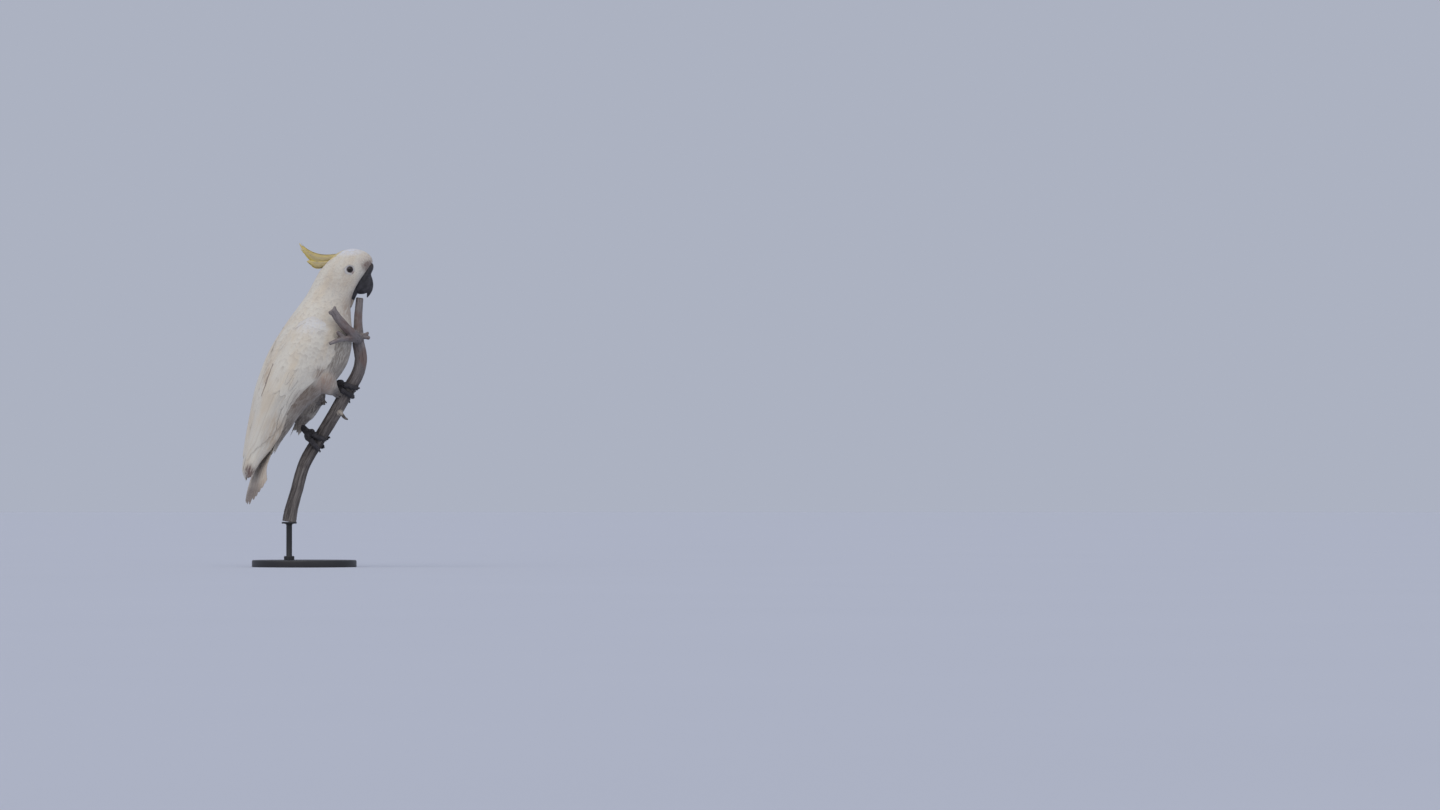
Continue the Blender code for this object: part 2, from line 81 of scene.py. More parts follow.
class Wire:
    """An output socket of a finish.  Arithmetic on wires and numbers adds Math nodes."""

    def __init__(self, finish, socket):
        self.finish, self.socket = finish, socket

    def maths(self, operation, *values):
        return self.finish.node("ShaderNodeMath", {"operation": operation}, dict(enumerate(values)))

    def __add__(self, other):
        return self.maths("ADD", self, other)

    __radd__ = __add__

    def __sub__(self, other):
        return self.maths("SUBTRACT", self, other)

    def __rsub__(self, other):
        return self.maths("SUBTRACT", other, self)

    def __mul__(self, other):
        return self.maths("MULTIPLY", self, other)

    __rmul__ = __mul__

    def __truediv__(self, other):
        return self.maths("DIVIDE", self, other)

    def size(self):
        return self.maths("ABSOLUTE", self)

    def sine(self):
        return self.maths("SINE", self)

    def eased(self, start, end):
        """0 before start and 1 after end, with a soft step between; start may be past end."""
        low, high = min(start, end), max(start, end)
        step = self.finish.node("ShaderNodeMapRange", {"interpolation_type": "SMOOTHSTEP"},
                                {0: self, 1: low, 2: high, 3: 0.0, 4: 1.0})
        return step if start <= end else 1 - step


class Finish:
    """A Principled material whose pattern is built up from wires."""

    def __init__(self, name, **constants):
        self.material = bpy.data.materials.new(name)
        self.material.use_nodes = True
        self.tree = self.material.node_tree
        self.shader = self.tree.nodes["Principled BSDF"]
        for socket, value in constants.items():
            self.shader.inputs[socket.replace("_", " ")].default_value = value

    def node(self, kind, settings, inputs, output=0):
        """Adds a node: its settings first, then the values or wires of its sockets."""
        made = self.tree.nodes.new(kind)
        for name, value in settings.items():
            setattr(made, name, value)
        for key, value in inputs.items():
            socket = made.inputs[key]
            if isinstance(value, Wire):
                self.tree.links.new(value.socket, socket)
            else:
                socket.default_value = value
        return Wire(self, made.outputs[output])

    def place(self):
        return self.node("ShaderNodeTexCoord", {}, {}, "Object")

    def parts(self, vector):
        """The X, Y and Z of a vector."""
        split = self.node("ShaderNodeSeparateXYZ", {}, {0: vector})
        return [Wire(self, socket) for socket in split.socket.node.outputs]

    def attribute(self, name, output="Fac"):
        return self.node("ShaderNodeAttribute", {"attribute_name": name}, {}, output)

    def map_of(self, name):
        return self.node("ShaderNodeUVMap", {"uv_map": name}, {})

    def vector(self, operation, first, second, output=0):
        return self.node("ShaderNodeVectorMath", {"operation": operation},
                         {0: first, 1: second}, output)

    def noise(self, place, scale, detail=3.0, rough=0.5):
        """Cloudy noise from 0 to 1 whose patches are about 1/scale across, or one scale each way."""
        if isinstance(scale, tuple):
            place, scale = self.vector("MULTIPLY", place, scale), 1.0
        return self.node("ShaderNodeTexNoise", {},
                         {"Vector": place, "Scale": scale, "Detail": detail, "Roughness": rough})

    def distance(self, place, centre, flat=False):
        """The way from a centre to a place, and its length in metres; flat leaves out its Y."""
        off = self.vector("SUBTRACT", place, centre)
        if flat:
            off = self.vector("MULTIPLY", off, (1, 0, 1))
        return off, self.vector("LENGTH", off, (0, 0, 0), "Value")

    def spot(self, place, centre, reach, fade=0.5):
        """1 in the middle of an ellipsoid and 0 outside it; fade is the share that is soft."""
        off = self.vector("DIVIDE", self.vector("SUBTRACT", place, tuple(centre)), tuple(reach))
        return self.vector("LENGTH", off, (0, 0, 0), "Value").eased(1.0, 1.0 - fade)

    def mix(self, low, high, share):
        low = low if isinstance(low, Wire) else (*low, 1.0)
        high = high if isinstance(high, Wire) else (*high, 1.0)
        return self.node("ShaderNodeMix", {"data_type": "RGBA"}, {0: share, 6: low, 7: high}, 2)

    def layers(self, colour, *coats):
        """Lays colours over a first one, each given with its share."""
        for coat, share in coats:
            colour = self.mix(colour, coat, share)
        return colour

    def feed(self, colour, roughness=None, relief=None, depth=0.0005, strength=1.0):
        self.tree.links.new(colour.socket, self.shader.inputs["Base Color"])
        if roughness is not None:
            self.tree.links.new(roughness.socket, self.shader.inputs["Roughness"])
        if relief is not None:
            bump = self.node("ShaderNodeBump", {},
                             {"Strength": strength, "Distance": depth, "Height": relief})
            self.tree.links.new(bump.socket, self.shader.inputs["Normal"])
        return self.material


def studio():
    select()
    bpy.ops.mesh.primitive_circle_add(vertices=96, radius=FLOOR_RADIUS, fill_type="NGON")
    floor = bpy.context.object
    floor.name = "studio_floor"
    paint = Finish("floor_paint", Roughness=0.9)
    place = paint.place()
    worn = paint.noise(place, 1.6, 4.0)
    floor.data.materials.append(paint.feed(
        paint.mix((0.515, 0.545, 0.63), (0.535, 0.565, 0.65), worn),
        relief=paint.noise(place, 300.0), depth=0.0002, strength=0.3))

    world = bpy.data.worlds.new("grey_sky")
    bpy.context.scene.world = world
    world.use_nodes = True
    sky = world.node_tree.nodes["Background"]
    sky.inputs["Color"].default_value = (*SKY_COLOUR, 1.0)
    sky.inputs["Strength"].default_value = 1.0

    for name, source, strength, spread, colour in LAMPS:
        light = bpy.data.lights.new(name, "SUN")
        light.energy = strength
        light.angle = math.radians(spread)
        light.color = colour
        lamp = add_object(name, light)
        lamp.location = Vector(source) * 3.0
        lamp.rotation_euler = Vector(source).to_track_quat("Z", "Y").to_euler()

    lens = bpy.data.cameras.new("camera")
    lens.lens = CAMERA_LENS
    lens.clip_end = 200.0
    camera = add_object("camera", lens)
    camera.location = (0.0, -CAMERA_DISTANCE, CAMERA_HEIGHT)
    aim = Vector(VIEW_CENTRE) - camera.location
    camera.rotation_euler = aim.to_track_quat("-Z", "Y").to_euler()
    bpy.context.scene.camera = camera
    bpy.context.scene.view_settings.view_transform = "Standard"


studio()


# Perch --------------------------------------------------------------------------------------
# A dead branch, sawn off at its foot and broken at its forked top, bare of bark for the most
# part and weathered dark grey.  It is pegged on the plate of the stand's rod.

PERCH_LINE = [                         # x, y, z, radius
    (-26.0, 0.0, 78.0, 12.0), (-22.5, 0.0, 98.0, 11.6), (-13.0, 0.0, 133.0, 10.6),
    (-3.5, 0.0, 168.0, 10.7), (6.5, 0.0, 190.5, 11.2), (24.0, 0.0, 218.5, 11.2),
    (46.0, 0.0, 254.5, 11.4), (70.0, 0.0, 296.0, 11.4), (90.0, 0.0, 330.0, 11.1),
    (96.5, 0.0, 352.0, 10.7), (96.0, 0.0, 368.0, 10.8), (92.5, 0.0, 386.0, 10.6),
    (92.5, 0.0, 401.0, 9.5), (92.0, 0.0, 419.0, 7.7), (92.5, 0.0, 437.0, 6.9),
    (95.0, 0.0, 463.5, 6.4),
]
TWIG_LINES = {
    "left_prong": [(92.0, -5.0, 391.0, 8.6), (86.5, -29.0, 397.0, 8.6), (72.0, -48.0, 410.0, 8.0),
                   (58.0, -58.0, 426.0, 7.4), (47.5, -63.0, 441.5, 6.2)],
    "end_knob_low": [(52.0, -61.0, 434.0, 5.0), (44.5, -65.0, 436.0, 3.4), (41.5, -66.0, 438.5, 1.6)],
    "end_knob_top": [(51.0, -61.0, 436.0, 5.4), (51.5, -61.5, 444.0, 3.2), (52.0, -62.0, 447.5, 1.5)],
    "left_twig": [(88.0, -20.0, 390.5, 5.4), (78.0, -41.0, 393.0, 4.8), (63.0, -59.0, 391.0, 4.0),
                  (50.0, -69.0, 386.0, 3.6), (42.5, -73.0, 383.0, 2.8)],
    "twig_stub": [(70.0, -50.0, 391.0, 4.6), (61.5, -56.0, 398.0, 4.4), (55.5, -61.0, 404.0, 2.6)],
    "right_twig": [(92.0, -2.0, 397.0, 6.0), (103.0, -6.0, 397.5, 4.9), (112.0, -8.0, 394.0, 2.8)],
    "right_twig_fork": [(100.0, -5.0, 398.0, 4.4), (106.5, -9.0, 401.0, 3.4),
                        (109.5, -11.0, 404.5, 2.0)],
    "spur": [(52.0, -4.0, 274.0, 4.2), (62.5, -11.0, 265.0, 3.2), (69.0, -13.0, 257.0, 2.6),
             (75.0, -13.0, 254.0, 1.2)],
}
PERCH_VOXEL = 0.00085
SAWN_END = 0.0780                      # heights of the branch's two ends, in metres
BROKEN_END = 0.4635
SPLINTERED = 0.0115                    # length of the broken end's splinters, in metres
DARK_ROUND_FEET = ((0.0880, 0.0, 0.3000), (0.0200, 0.0, 0.2180))
SPUR_SCAR = (0.0620, -0.010, 0.2655)   # where fresh wood shows at the torn root of the spur


def unit(vectors):
    return vectors / np.maximum(np.linalg.norm(vectors, axis=-1, keepdims=True), 1e-12)


def read_rows(table, positions):
    """Rows of a table read at fractional row numbers, along a Catmull-Rom curve."""
    table = np.asarray(table, float)
    positions = np.asarray(positions, float)
    last = len(table) - 1
    index = np.clip(positions.astype(int), 0, last - 1)
    share = (positions - index)[..., None]
    before, start = table[np.maximum(index - 1, 0)], table[index]
    end, after = table[index + 1], table[np.minimum(index + 2, last)]
    return 0.5 * (2 * start + (end - before) * share
                  + (2 * before - 5 * start + 4 * end - after) * share ** 2
                  + (3 * start - before - 3 * end + after) * share ** 3)


def read_share(table, share):
    """Rows of such a table read at shares from 0, its first row, to 1, its last."""
    return read_rows(table, np.clip(share, 0, 1) * (len(table) - 1))


def finer(rows, steps):
    """A table with this many rows for each of its own, along such a curve."""
    return read_rows(rows, np.linspace(0, len(rows) - 1, (len(rows) - 1) * steps + 1))


def loft(name, rings, capped=True):
    """A closed skin over rings of points, in metres; uncapped, its last ring joins its first."""
    count, last = len(rings[0]), (len(rings) - 1) * len(rings[0])
    lows = range(0, last if capped else last + count, count)
    faces = [(low + step, low + (step + 1) % count,
              (low + count) % (last + count) + (step + 1) % count,
              (low + count) % (last + count) + step) for low in lows for step in range(count)]
    if capped:
        faces += [tuple(range(count)), tuple(reversed(range(last, last + count)))]
    mesh = bpy.data.meshes.new(name)
    mesh.from_pydata([tuple(point) for ring in rings for point in ring], [], faces)
    shape = bmesh.new()
    shape.from_mesh(mesh)
    bmesh.ops.recalc_face_normals(shape, faces=shape.faces)
    shape.to_mesh(mesh)
    shape.free()
    mesh.shade_smooth()
    return add_object(name, mesh)


def tube(name, rows, sides, steps):
    """A round bar through rows of x, y, z and radius in millimetres, which doesn't twist."""
    line = finer(rows, steps) * MM
    turns = np.linspace(0, 2 * math.pi, sides, endpoint=False)[:, None]
    across, rings = (0.0, 1.0, 0.0), []
    for centre, along in zip(line, unit(np.gradient(line[:, :3], axis=0))):
        if not rings:
            across = np.cross(along, across)
        across = unit(across - along * across.dot(along))
        ring = np.cos(turns) * across + np.sin(turns) * np.cross(along, across)
        rings.append(centre[:3] + centre[3] * ring)
    return loft(name, rings)


def join(*pieces):
    select(*pieces)
    bpy.ops.object.join()
    return pieces[0]


def remesh(piece, voxel, smoothing):
    """One even skin over all that piece is made of."""
    select(piece)
    even = piece.modifiers.new("even", "REMESH")
    even.mode = "VOXEL"
    even.voxel_size = voxel
    even.use_smooth_shade = True
    bpy.ops.object.modifier_apply(modifier=even.name)
    soft = piece.modifiers.new("soft", "SMOOTH")
    soft.factor = 0.5
    soft.iterations = smoothing
    bpy.ops.object.modifier_apply(modifier=soft.name)
    return piece


def points_of(piece):
    """Places and normals of a piece's corners."""
    mesh = piece.data
    places = np.empty(len(mesh.vertices) * 3, np.float32)
    normals = np.empty_like(places)
    mesh.vertices.foreach_get("co", places)
    mesh.vertex_normals.foreach_get("vector", normals)
    return places.reshape(-1, 3).astype(float), normals.reshape(-1, 3).astype(float)


def move_points(piece, places):
    piece.data.vertices.foreach_set("co", np.asarray(places, np.float32).ravel())
    piece.data.update()


def clouds(places, scale, seed):
    """Smooth noise from -1 to 1 at each place; scale is in cycles per metre, one or three."""
    shifted = places * scale + (seed * 7.13, seed * 3.71, seed * 5.37)
    return np.array([noise.noise(Vector(place)) for place in shifted])


def nearest_line(places, lines):
    """For each place: how far along the bar it belongs to it is, and the offset from its middle."""
    middles, lengths, ways = [], [], []
    reach = 0.0
    for rows in lines:
        fine = finer(rows, 12) * MM
        steps = np.linalg.norm(np.diff(fine[:, :3], axis=0), axis=1)
        middles.append(fine)
        lengths.append(reach + np.concatenate([[0.0], np.cumsum(steps)]))
        ways.append(unit(np.gradient(fine[:, :3], axis=0)))
        reach = lengths[-1][-1] + 0.05
    middles, lengths, ways = (np.concatenate(part) for part in (middles, lengths, ways))
    found = np.concatenate([
        (np.linalg.norm(some[:, None] - middles[None, :, :3], axis=-1) - middles[:, 3]).argmin(1)
        for some in np.array_split(places, max(1, len(places) // 2000))])
    offsets = places - middles[found, :3]
    past = (offsets * ways[found]).sum(1)
    return lengths[found] + past, offsets - ways[found] * past[:, None]


def complete(piece, finish, slot, *nodes):
    """Gives a finished piece its one material, hangs it on the root body, and hides the CAD nodes it stands
    for.
    """
    piece.data.materials.clear()
    piece.data.materials.append(finish)
    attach(piece, "root")
    if nodes:
        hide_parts(*nodes)


def bark_finish():
    """Weathered dead wood: long grey grain, dark checks, and rusty patches near the top."""
    wood = Finish("dead_branch", Roughness=0.85)
    grain = wood.attribute("grain", "Vector")
    place = wood.place()
    fibres = wood.noise(grain, (900.0, 900.0, 45.0), 5.0, 0.65)
    bands = wood.noise(grain, (230.0, 230.0, 16.0), 3.0, 0.55)
    checks = wood.noise(grain, (420.0, 420.0, 24.0), 2.0, 0.5)
    crack = (checks - 0.5).size().eased(0.022, 0.0) * bands.eased(0.50, 0.42)
    blotches = wood.noise(place, 38.0, 4.0, 0.6)
    height = wood.parts(place)[2]
    rust = wood.noise(place, 24.0, 3.0, 0.6).eased(0.50, 0.66)
    colour = wood.layers(
        wood.mix((0.060, 0.050, 0.047), (0.225, 0.200, 0.183), fibres.eased(0.34, 0.68)),
        ((0.300, 0.270, 0.250), bands.eased(0.52, 0.66) * 0.4),
        ((0.045, 0.036, 0.034), bands.eased(0.48, 0.36) * 0.55),
        ((0.060, 0.050, 0.047), blotches.eased(0.54, 0.40) * 0.45),
        ((0.270, 0.240, 0.240), height.eased(0.26, 0.40) * fibres * 1.2),
        ((0.170, 0.105, 0.088), rust * height.eased(0.24, 0.36) * 0.6),
        ((0.035, 0.030, 0.031), crack * 0.75))
    # the wood is darker round each foot
    for round_foot in DARK_ROUND_FEET:
        near = wood.spot(place, round_foot, (0.030, 0.05, 0.034), 0.7)
        colour = wood.mix(colour, (0.030, 0.025, 0.026), near * bands.eased(0.62, 0.40) * 0.75)
    fresh = wood.spot(place, SPUR_SCAR, (0.0080, 0.012, 0.0065), 0.4)
    end_grain = height.eased(SAWN_END + 0.0005, SAWN_END - 0.0005)
    end_grain = end_grain + height.eased(BROKEN_END - 0.0020, BROKEN_END - 0.0005)
    colour = wood.layers(colour, ((0.420, 0.370, 0.310), fresh * blotches.eased(0.35, 0.55)),
                         ((0.17, 0.14, 0.115), end_grain * 0.7))
    relief = fibres * 0.5 - crack * 0.7 + bands * 0.5
    return wood.feed(colour, roughness=0.72 + fibres * 0.2, relief=relief, depth=0.0006,
                     strength=0.8)


def perch():
    lines = [PERCH_LINE, *TWIG_LINES.values()]
    pieces = [tube("perch_wood", PERCH_LINE, 32, 6)]
    pieces += [tube(name, rows, 16, 5) for name, rows in TWIG_LINES.items()]
    branch = remesh(join(*pieces), PERCH_VOXEL, 1)
    places, normals = points_of(branch)
    lengths, offsets = nearest_line(places, lines)
    grain = np.column_stack([offsets[:, 0] - offsets[:, 2] * 0.6, offsets[:, 1], lengths])
    long_lumps = clouds(grain, (90, 90, 22), 1.0)
    furrows = clouds(grain, (420, 420, 26), 2.0)
    fine = clouds(grain, (1100, 1100, 90), 3.0)
    share = np.clip(np.linalg.norm(offsets, axis=1) / 0.009, 0.2, 1.0)
    depth = 0.55 * long_lumps - 0.75 * np.exp(-(furrows / 0.16) ** 2) + 0.2 * fine
    foot = np.clip((places[:, 2] - SAWN_END - 0.0005) / 0.004, 0.0, 1.0)
    places += normals * (depth * share * foot * MM)[:, None]
    splinter = np.clip((places[:, 2] - BROKEN_END + SPLINTERED) / 0.010, 0, 1)
    ragged = clouds(places, (420, 420, 30), 4.0)
    places[:, 2] += splinter * np.clip(ragged, -0.8, 0.1) * 9.0 * MM
    move_points(branch, places)
    kept = branch.data.attributes.new("grain", "FLOAT_VECTOR", "POINT")
    kept.data.foreach_set("vector", grain.astype(np.float32).ravel())
    complete(branch, bark_finish(), "dead_branch", "perch")


perch()


# Stand --------------------------------------------------------------------------------------
# A turned steel disc with a shallow groove near its rim, a steel rod screwed into it through a
# collar, and a plate on the rod that the branch is pegged to.  All are painted satin black.

COLLAR_RADIUS = 9.0
COLLAR_HEIGHT = 7.0
PLATE_THICKNESS = 3.0
TURNED_SIDES = 128


def paint_finish():
    paint = Finish("stand_paint", Roughness=0.42, Specular_IOR_Level=0.45)
    place = paint.place()
    dust = paint.noise(place, 55.0, 5.0, 0.65)
    peel = paint.noise(place, 900.0, 2.0)
    height = paint.parts(place)[2]
    settled = dust.eased(0.48, 0.72) * height.eased(0.002, 0.011)
    colour = paint.mix((0.020, 0.020, 0.022), (0.030, 0.030, 0.032), settled)
    return paint.feed(colour, roughness=0.36 + dust * 0.22, relief=peel, depth=0.00012, strength=0.35)


def turned_piece(name, profile, x, y):
    """A piece turned about an upright axis; the profile is (radius, height) from foot to top."""
    turns = np.linspace(0, 2 * math.pi, TURNED_SIDES, endpoint=False)
    circle = np.column_stack([np.cos(turns), np.sin(turns), np.zeros(TURNED_SIDES)])
    made = loft(name, [circle * radius * MM + np.array((x, y, height * MM))
                       for radius, height in profile])
    select(made)
    bpy.ops.object.shade_smooth_by_angle(angle=math.radians(40))
    return made


def rounded_corner(radius, height, size, start, end, steps=5):
    """Points of a quarter round whose centre is at (radius, height)."""
    return [(radius + size * math.cos(turn), height + size * math.sin(turn))
            for turn in np.radians(np.linspace(start, end, steps))]


def stand():
    base_low, base_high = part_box("stand_base")
    rod_low, rod_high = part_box("stand_rod")
    rod_x, rod_y = (rod_low.x + rod_high.x) / 2, (rod_low.y + rod_high.y) / 2
    outer = (base_high.x - base_low.x) / 2 / MM
    top = base_high.z / MM
    disc = turned_piece("stand_disc", [
        (outer - 3.0, 0.0), (outer - 1.0, 0.0), *rounded_corner(outer - 1.0, 1.0, 1.0, -80, 0),
        *rounded_corner(outer - 2.5, top - 2.5, 2.5, 0, 90, 7),
        (outer - 9.0, top), (outer - 9.4, top - 0.7), (outer - 11.0, top - 0.7), (outer - 11.4, top),
        (outer - 30.0, top), (2.0, top)], 0.0, 0.0)
    plate_top = rod_high.z / MM
    plate_foot = plate_top - PLATE_THICKNESS
    plate_radius = (rod_high.x - rod_low.x) / 2 / MM
    rod = turned_piece("stand_stem", [
        (1.0, top + 0.3), (COLLAR_RADIUS - 0.6, top + 0.3), (COLLAR_RADIUS, top + 0.9),
        (COLLAR_RADIUS, top + COLLAR_HEIGHT - 1.5),
        *rounded_corner(COLLAR_RADIUS - 1.5, top + COLLAR_HEIGHT - 1.5, 1.5, 0, 90),
        (5.3, top + COLLAR_HEIGHT), (5.0, top + COLLAR_HEIGHT + 0.6), (5.0, plate_foot - 3.0),
        (5.8, plate_foot - 1.0), (8.0, plate_foot), (plate_radius - 0.6, plate_foot),
        (plate_radius, plate_foot + 0.6), (plate_radius, plate_top - 0.6),
        (plate_radius - 0.6, plate_top), (1.0, plate_top)], rod_x, rod_y)
    paint = paint_finish()
    complete(disc, paint, "stand_paint", "stand_base")
    complete(rod, paint, "stand_paint", "stand_rod")


stand()


# Skin ---------------------------------------------------------------------------------------
# One skin over head, neck, trunk, thighs and the fleshy part of the folded wings.  It lies under
# the feathers by their depth, and carries the bare rings and the lids round the eyes.

SKIN_VOXEL = 0.0017
COAT_DEPTH_FACE = 0.35
COAT_DEPTH_BODY = 0.95
EYE_OPENING = 4.85                     # radius of the lids' opening
EYE_SIDES = 96
EYE_RING = 9.6                         # radius at which the ring has gone under the feathers
LID_HEIGHT = 0.4                       # how far the lids' rim stands out from the ball
CHEEK_HEIGHT = 26.75                   # of the feathered cheek from the middle plane, at the eye
CHEEK_SLOPE_X, CHEEK_SLOPE_Z = 0.072, 0.139
RING_DEPTH = 0.45                      # the bare ring lies this far below the feathers
RING_WALL = 1.4                        # its thickness
SOCKET_DEPTH = 2.6                     # the skin under the ring lies this much deeper
BILL_BED = 2.5                         # and the skin under the bill's root this much
SIDE_OF_HEAD = 0.015                   # what lies further from the middle plane is cheek
WING_FLESH_END = 262.0                 # height below which a folded wing is feathers alone

eye_low, eye_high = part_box("eye_right")
eye_x, eye_z = (eye_low.x + eye_high.x) / 2, (eye_low.z + eye_high.z) / 2
eye_radius = (eye_high.x - eye_low.x) / 2
eye_side = -(eye_low.y + eye_high.y) / 2
bill_low, bill_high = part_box("bill_upper")


def along_body(finish, place, along, across):
    """Object places stretched along the lie of the feathers, from head to tail."""
    x, y, z = finish.parts(place)
    return finish.node("ShaderNodeCombineXYZ", {}, {0: (x * 0.40 + z * 0.92) * along,
                                                    1: (x * 0.92 - z * 0.40) * across,
                                                    2: y * across})


# Tint, centre, reach, share and evenness of the stains on the body's feathers, of the shade painted on them,
# and of the sky light painted on the crown
BODY_STAINS_AND_SHADE = (
    ((0.66, 0.69, 0.78), (72, 0, 550), (45, 100, 20), 0.9, 0.4),                # crown: painted cool sky light on the top of the head
    ((0.7, 0.635, 0.54), (52, -30, 455), (32, 100, 45), 0.6, 0.2),              # fore neck
    ((0.42, 0.285, 0.235), (107, 0, 526), (26, 100, 18.5), 0.36, 0),            # forehead
    ((0.13, 0.066, 0.052), (109.5, 0, 518), (16, 100, 15), 1, 0.4),             # over the bill
    ((0.52, 0.44, 0.345), (50, 0, 492), (30, 100, 29), 0.5, 0.3),               # ears
    ((0.5, 0.41, 0.315), (78, 0, 488), (24, 100, 30), 0.55, 0.3),               # cheeks
    ((0.13, 0.095, 0.08), (84, 0, 460), (10, 100, 26), 0.9, 0.3),               # chin: painted shade under the bill
    ((0.46, 0.365, 0.28), (78, 0, 444), (24, 100, 34), 0.8, 0.25),              # throat
    ((0.2, 0.17, 0.138), (60, -30, 350), (42, 100, 75), 0.9, 0.4),              # breast: painted shade
    ((0.16, 0.115, 0.083), (2, -60, 286), (64, 80, 52), 0.95, 0.75),            # flank: painted shade on the lower body, with soiling
    ((0.125, 0.094, 0.068), (-32, -50, 230), (42, 90, 54), 0.95, 0.55),         # vent: painted shade under the body, with soiling
    ((0.35, 0.24, 0.18), (36, -30, 317), (25, 80, 27), 0.9, 0.6),               # right thigh
    ((0.05, 0.038, 0.034), (58, -20, 298), (15, 80, 15), 1, 0.8),               # right ankle: painted shade by the foot, with soiling
    ((0.04, 0.028, 0.024), (36, 0, 283), (26, 80, 23), 1, 0.8),                 # between legs: painted shade, with soiling
    # below the legs: painted shade, with soiling
    ((0.05, 0.036, 0.03), (12, -10, 272), (19, 80, 15), 1, 0.4),
    ((0.1, 0.08, 0.07), (-2, -10, 248), (27, 45, 28), 0.95, 0.7),               # left thigh, on its right side: painted shade, with soiling
    ((0.36, 0.24, 0.13), (-64, -40, 330), (16, 30, 56), 0.5, 0),                # back: painted shade in the slit between the wings
)
# The same for the feathers of the wings and the tail
WING_STAINS_AND_SHADE = (
    ((0.66, 0.665, 0.68), (12, -50, 425), (50, 60, 40), 0.7, 0.3),              # shoulder
    ((0.12, 0.07, 0.06), (-94.5, -70, 161), (14, 26, 22.5), 1, 0.45),           # right tip: painted shadow in the gap by the tail, with soiling
    ((0.42, 0.3, 0.185), (-50, -55, 230), (35, 40, 65), 0.55, 0.1),             # lower edge
    ((0.24, 0.175, 0.135), (28, -55, 330), (23, 40, 21), 0.75, 0.2),            # over the thigh: painted shade
    ((0.2, 0.145, 0.108), (-6, -55, 288), (26, 40, 23), 0.8, 0.4),              # by the flank: painted shade
)
TAIL_STAINS = (
    ((0.52, 0.41, 0.31), (-78, -45, 150), (50, 80, 85), 0.8, 0.3),
    ((0.12, 0.078, 0.06), (-86, -45, 114), (46, 90, 40), 1, 0.8),
)


def white_plumage(finish, stains_and_shade=BODY_STAINS_AND_SHADE):
    """The colour of the white feathers with their stains, painted shade and painted sky light, by place on
    the bird.
    """
    place = finish.place()
    cloudy = finish.noise(along_body(finish, place, 13.0, 48.0), 1.0, 4.0, 0.6)
    fine = finish.noise(along_body(finish, place, 60.0, 330.0), 1.0, 3.0, 0.6)
    from_bill, reach = finish.distance(place, (0.106, 0, 0.497))
    reach = reach * 60.0
    way = finish.vector("MULTIPLY", finish.vector("NORMALIZE", from_bill, (0, 0, 0)), (17, 17, 17))
    spread = finish.vector("ADD", way, finish.node("ShaderNodeCombineXYZ", {}, {0: reach, 1: reach}))
    on_head = finish.parts(place)[2].eased(0.47, 0.50)
    fine = fine * (1 - on_head) + finish.noise(spread, 1.0, 3.0, 0.6) * on_head
    streaks = fine.eased(0.34, 0.62) * 1.3
    colour = finish.mix((0.670, 0.638, 0.560), (0.650, 0.572, 0.455), cloudy.eased(0.40, 0.66))
    # each row lays its tint in its ellipsoid: a stain, painted shade, or painted sky light on the crown
    for tint, centre, reach, share, even in stains_and_shade:
        mask = finish.spot(place, np.array(centre) * MM, np.array(reach) * MM, 0.7)
        colour = finish.mix(colour, tint, mask * (streaks * (1 - even) + 1.2 * even) * share)
    return colour


def wing_plumage(finish):
    return white_plumage(finish, WING_STAINS_AND_SHADE)


def tail_plumage(finish):
    return white_plumage(finish, TAIL_STAINS)


# Brown painted as the shade in the slit between the folded wings
def brown_plumage(finish):
    cloudy = finish.noise(along_body(finish, finish.place(), 40.0, 220.0), 1.0, 3.0, 0.6)
    return finish.mix((0.17, 0.112, 0.075), (0.36, 0.265, 0.160), cloudy.eased(0.40, 0.62))


def skin_finish():
    skin = Finish("skin", Roughness=0.75)
    place = skin.place()
    _, from_eye = skin.distance(place, (eye_x, 0, eye_z), flat=True)
    bare = from_eye.eased(0.0112, 0.0096)
    folds = skin.noise(place, 900.0, 3.0, 0.6)
    low_front = skin.spot(place, (eye_x + 0.0065, -eye_side - 0.005, eye_z - 0.006),
                          (0.006, 0.02, 0.005), 0.8)
    ring = skin.layers(skin.mix((0.46, 0.445, 0.44), (0.55, 0.535, 0.52), folds.eased(0.30, 0.70)),
                       ((0.26, 0.17, 0.15), low_front * 0.75),
                       ((0.085, 0.075, 0.080), from_eye.eased(0.0063, 0.0050)))
    gape = skin.spot(place, (0.096, 0, 0.490), (0.017, 0.04, 0.022), 0.3)
    colour = skin.layers(white_plumage(skin), ((0.66, 0.60, 0.56), 0.35), (ring, bare),
                         ((0.045, 0.041, 0.046), gape))
    circles = (from_eye * 4200.0 + folds * 9.0).sine()
    relief = folds * 0.6 + circles * bare * 0.15
    return skin.feed(colour, relief=relief, depth=0.0003, strength=0.7)


def copy_of(name, end=None):
    """A merged copy of a CAD node, cut off below the height end where one is given."""
    made = add_object("copy_" + name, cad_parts[name].data.copy())
    select(made)
    bpy.ops.object.mode_set(mode="EDIT")
    bpy.ops.mesh.select_all(action="SELECT")
    bpy.ops.mesh.remove_doubles(threshold=0.00002)
    bpy.ops.mesh.normals_make_consistent(inside=False)
    if end is not None:
        bpy.ops.mesh.bisect(plane_co=(0, 0, end), plane_no=(0, 0, 1), use_fill=True, clear_inner=True)
    bpy.ops.object.mode_set(mode="OBJECT")
    made.data.materials.clear()
    return made


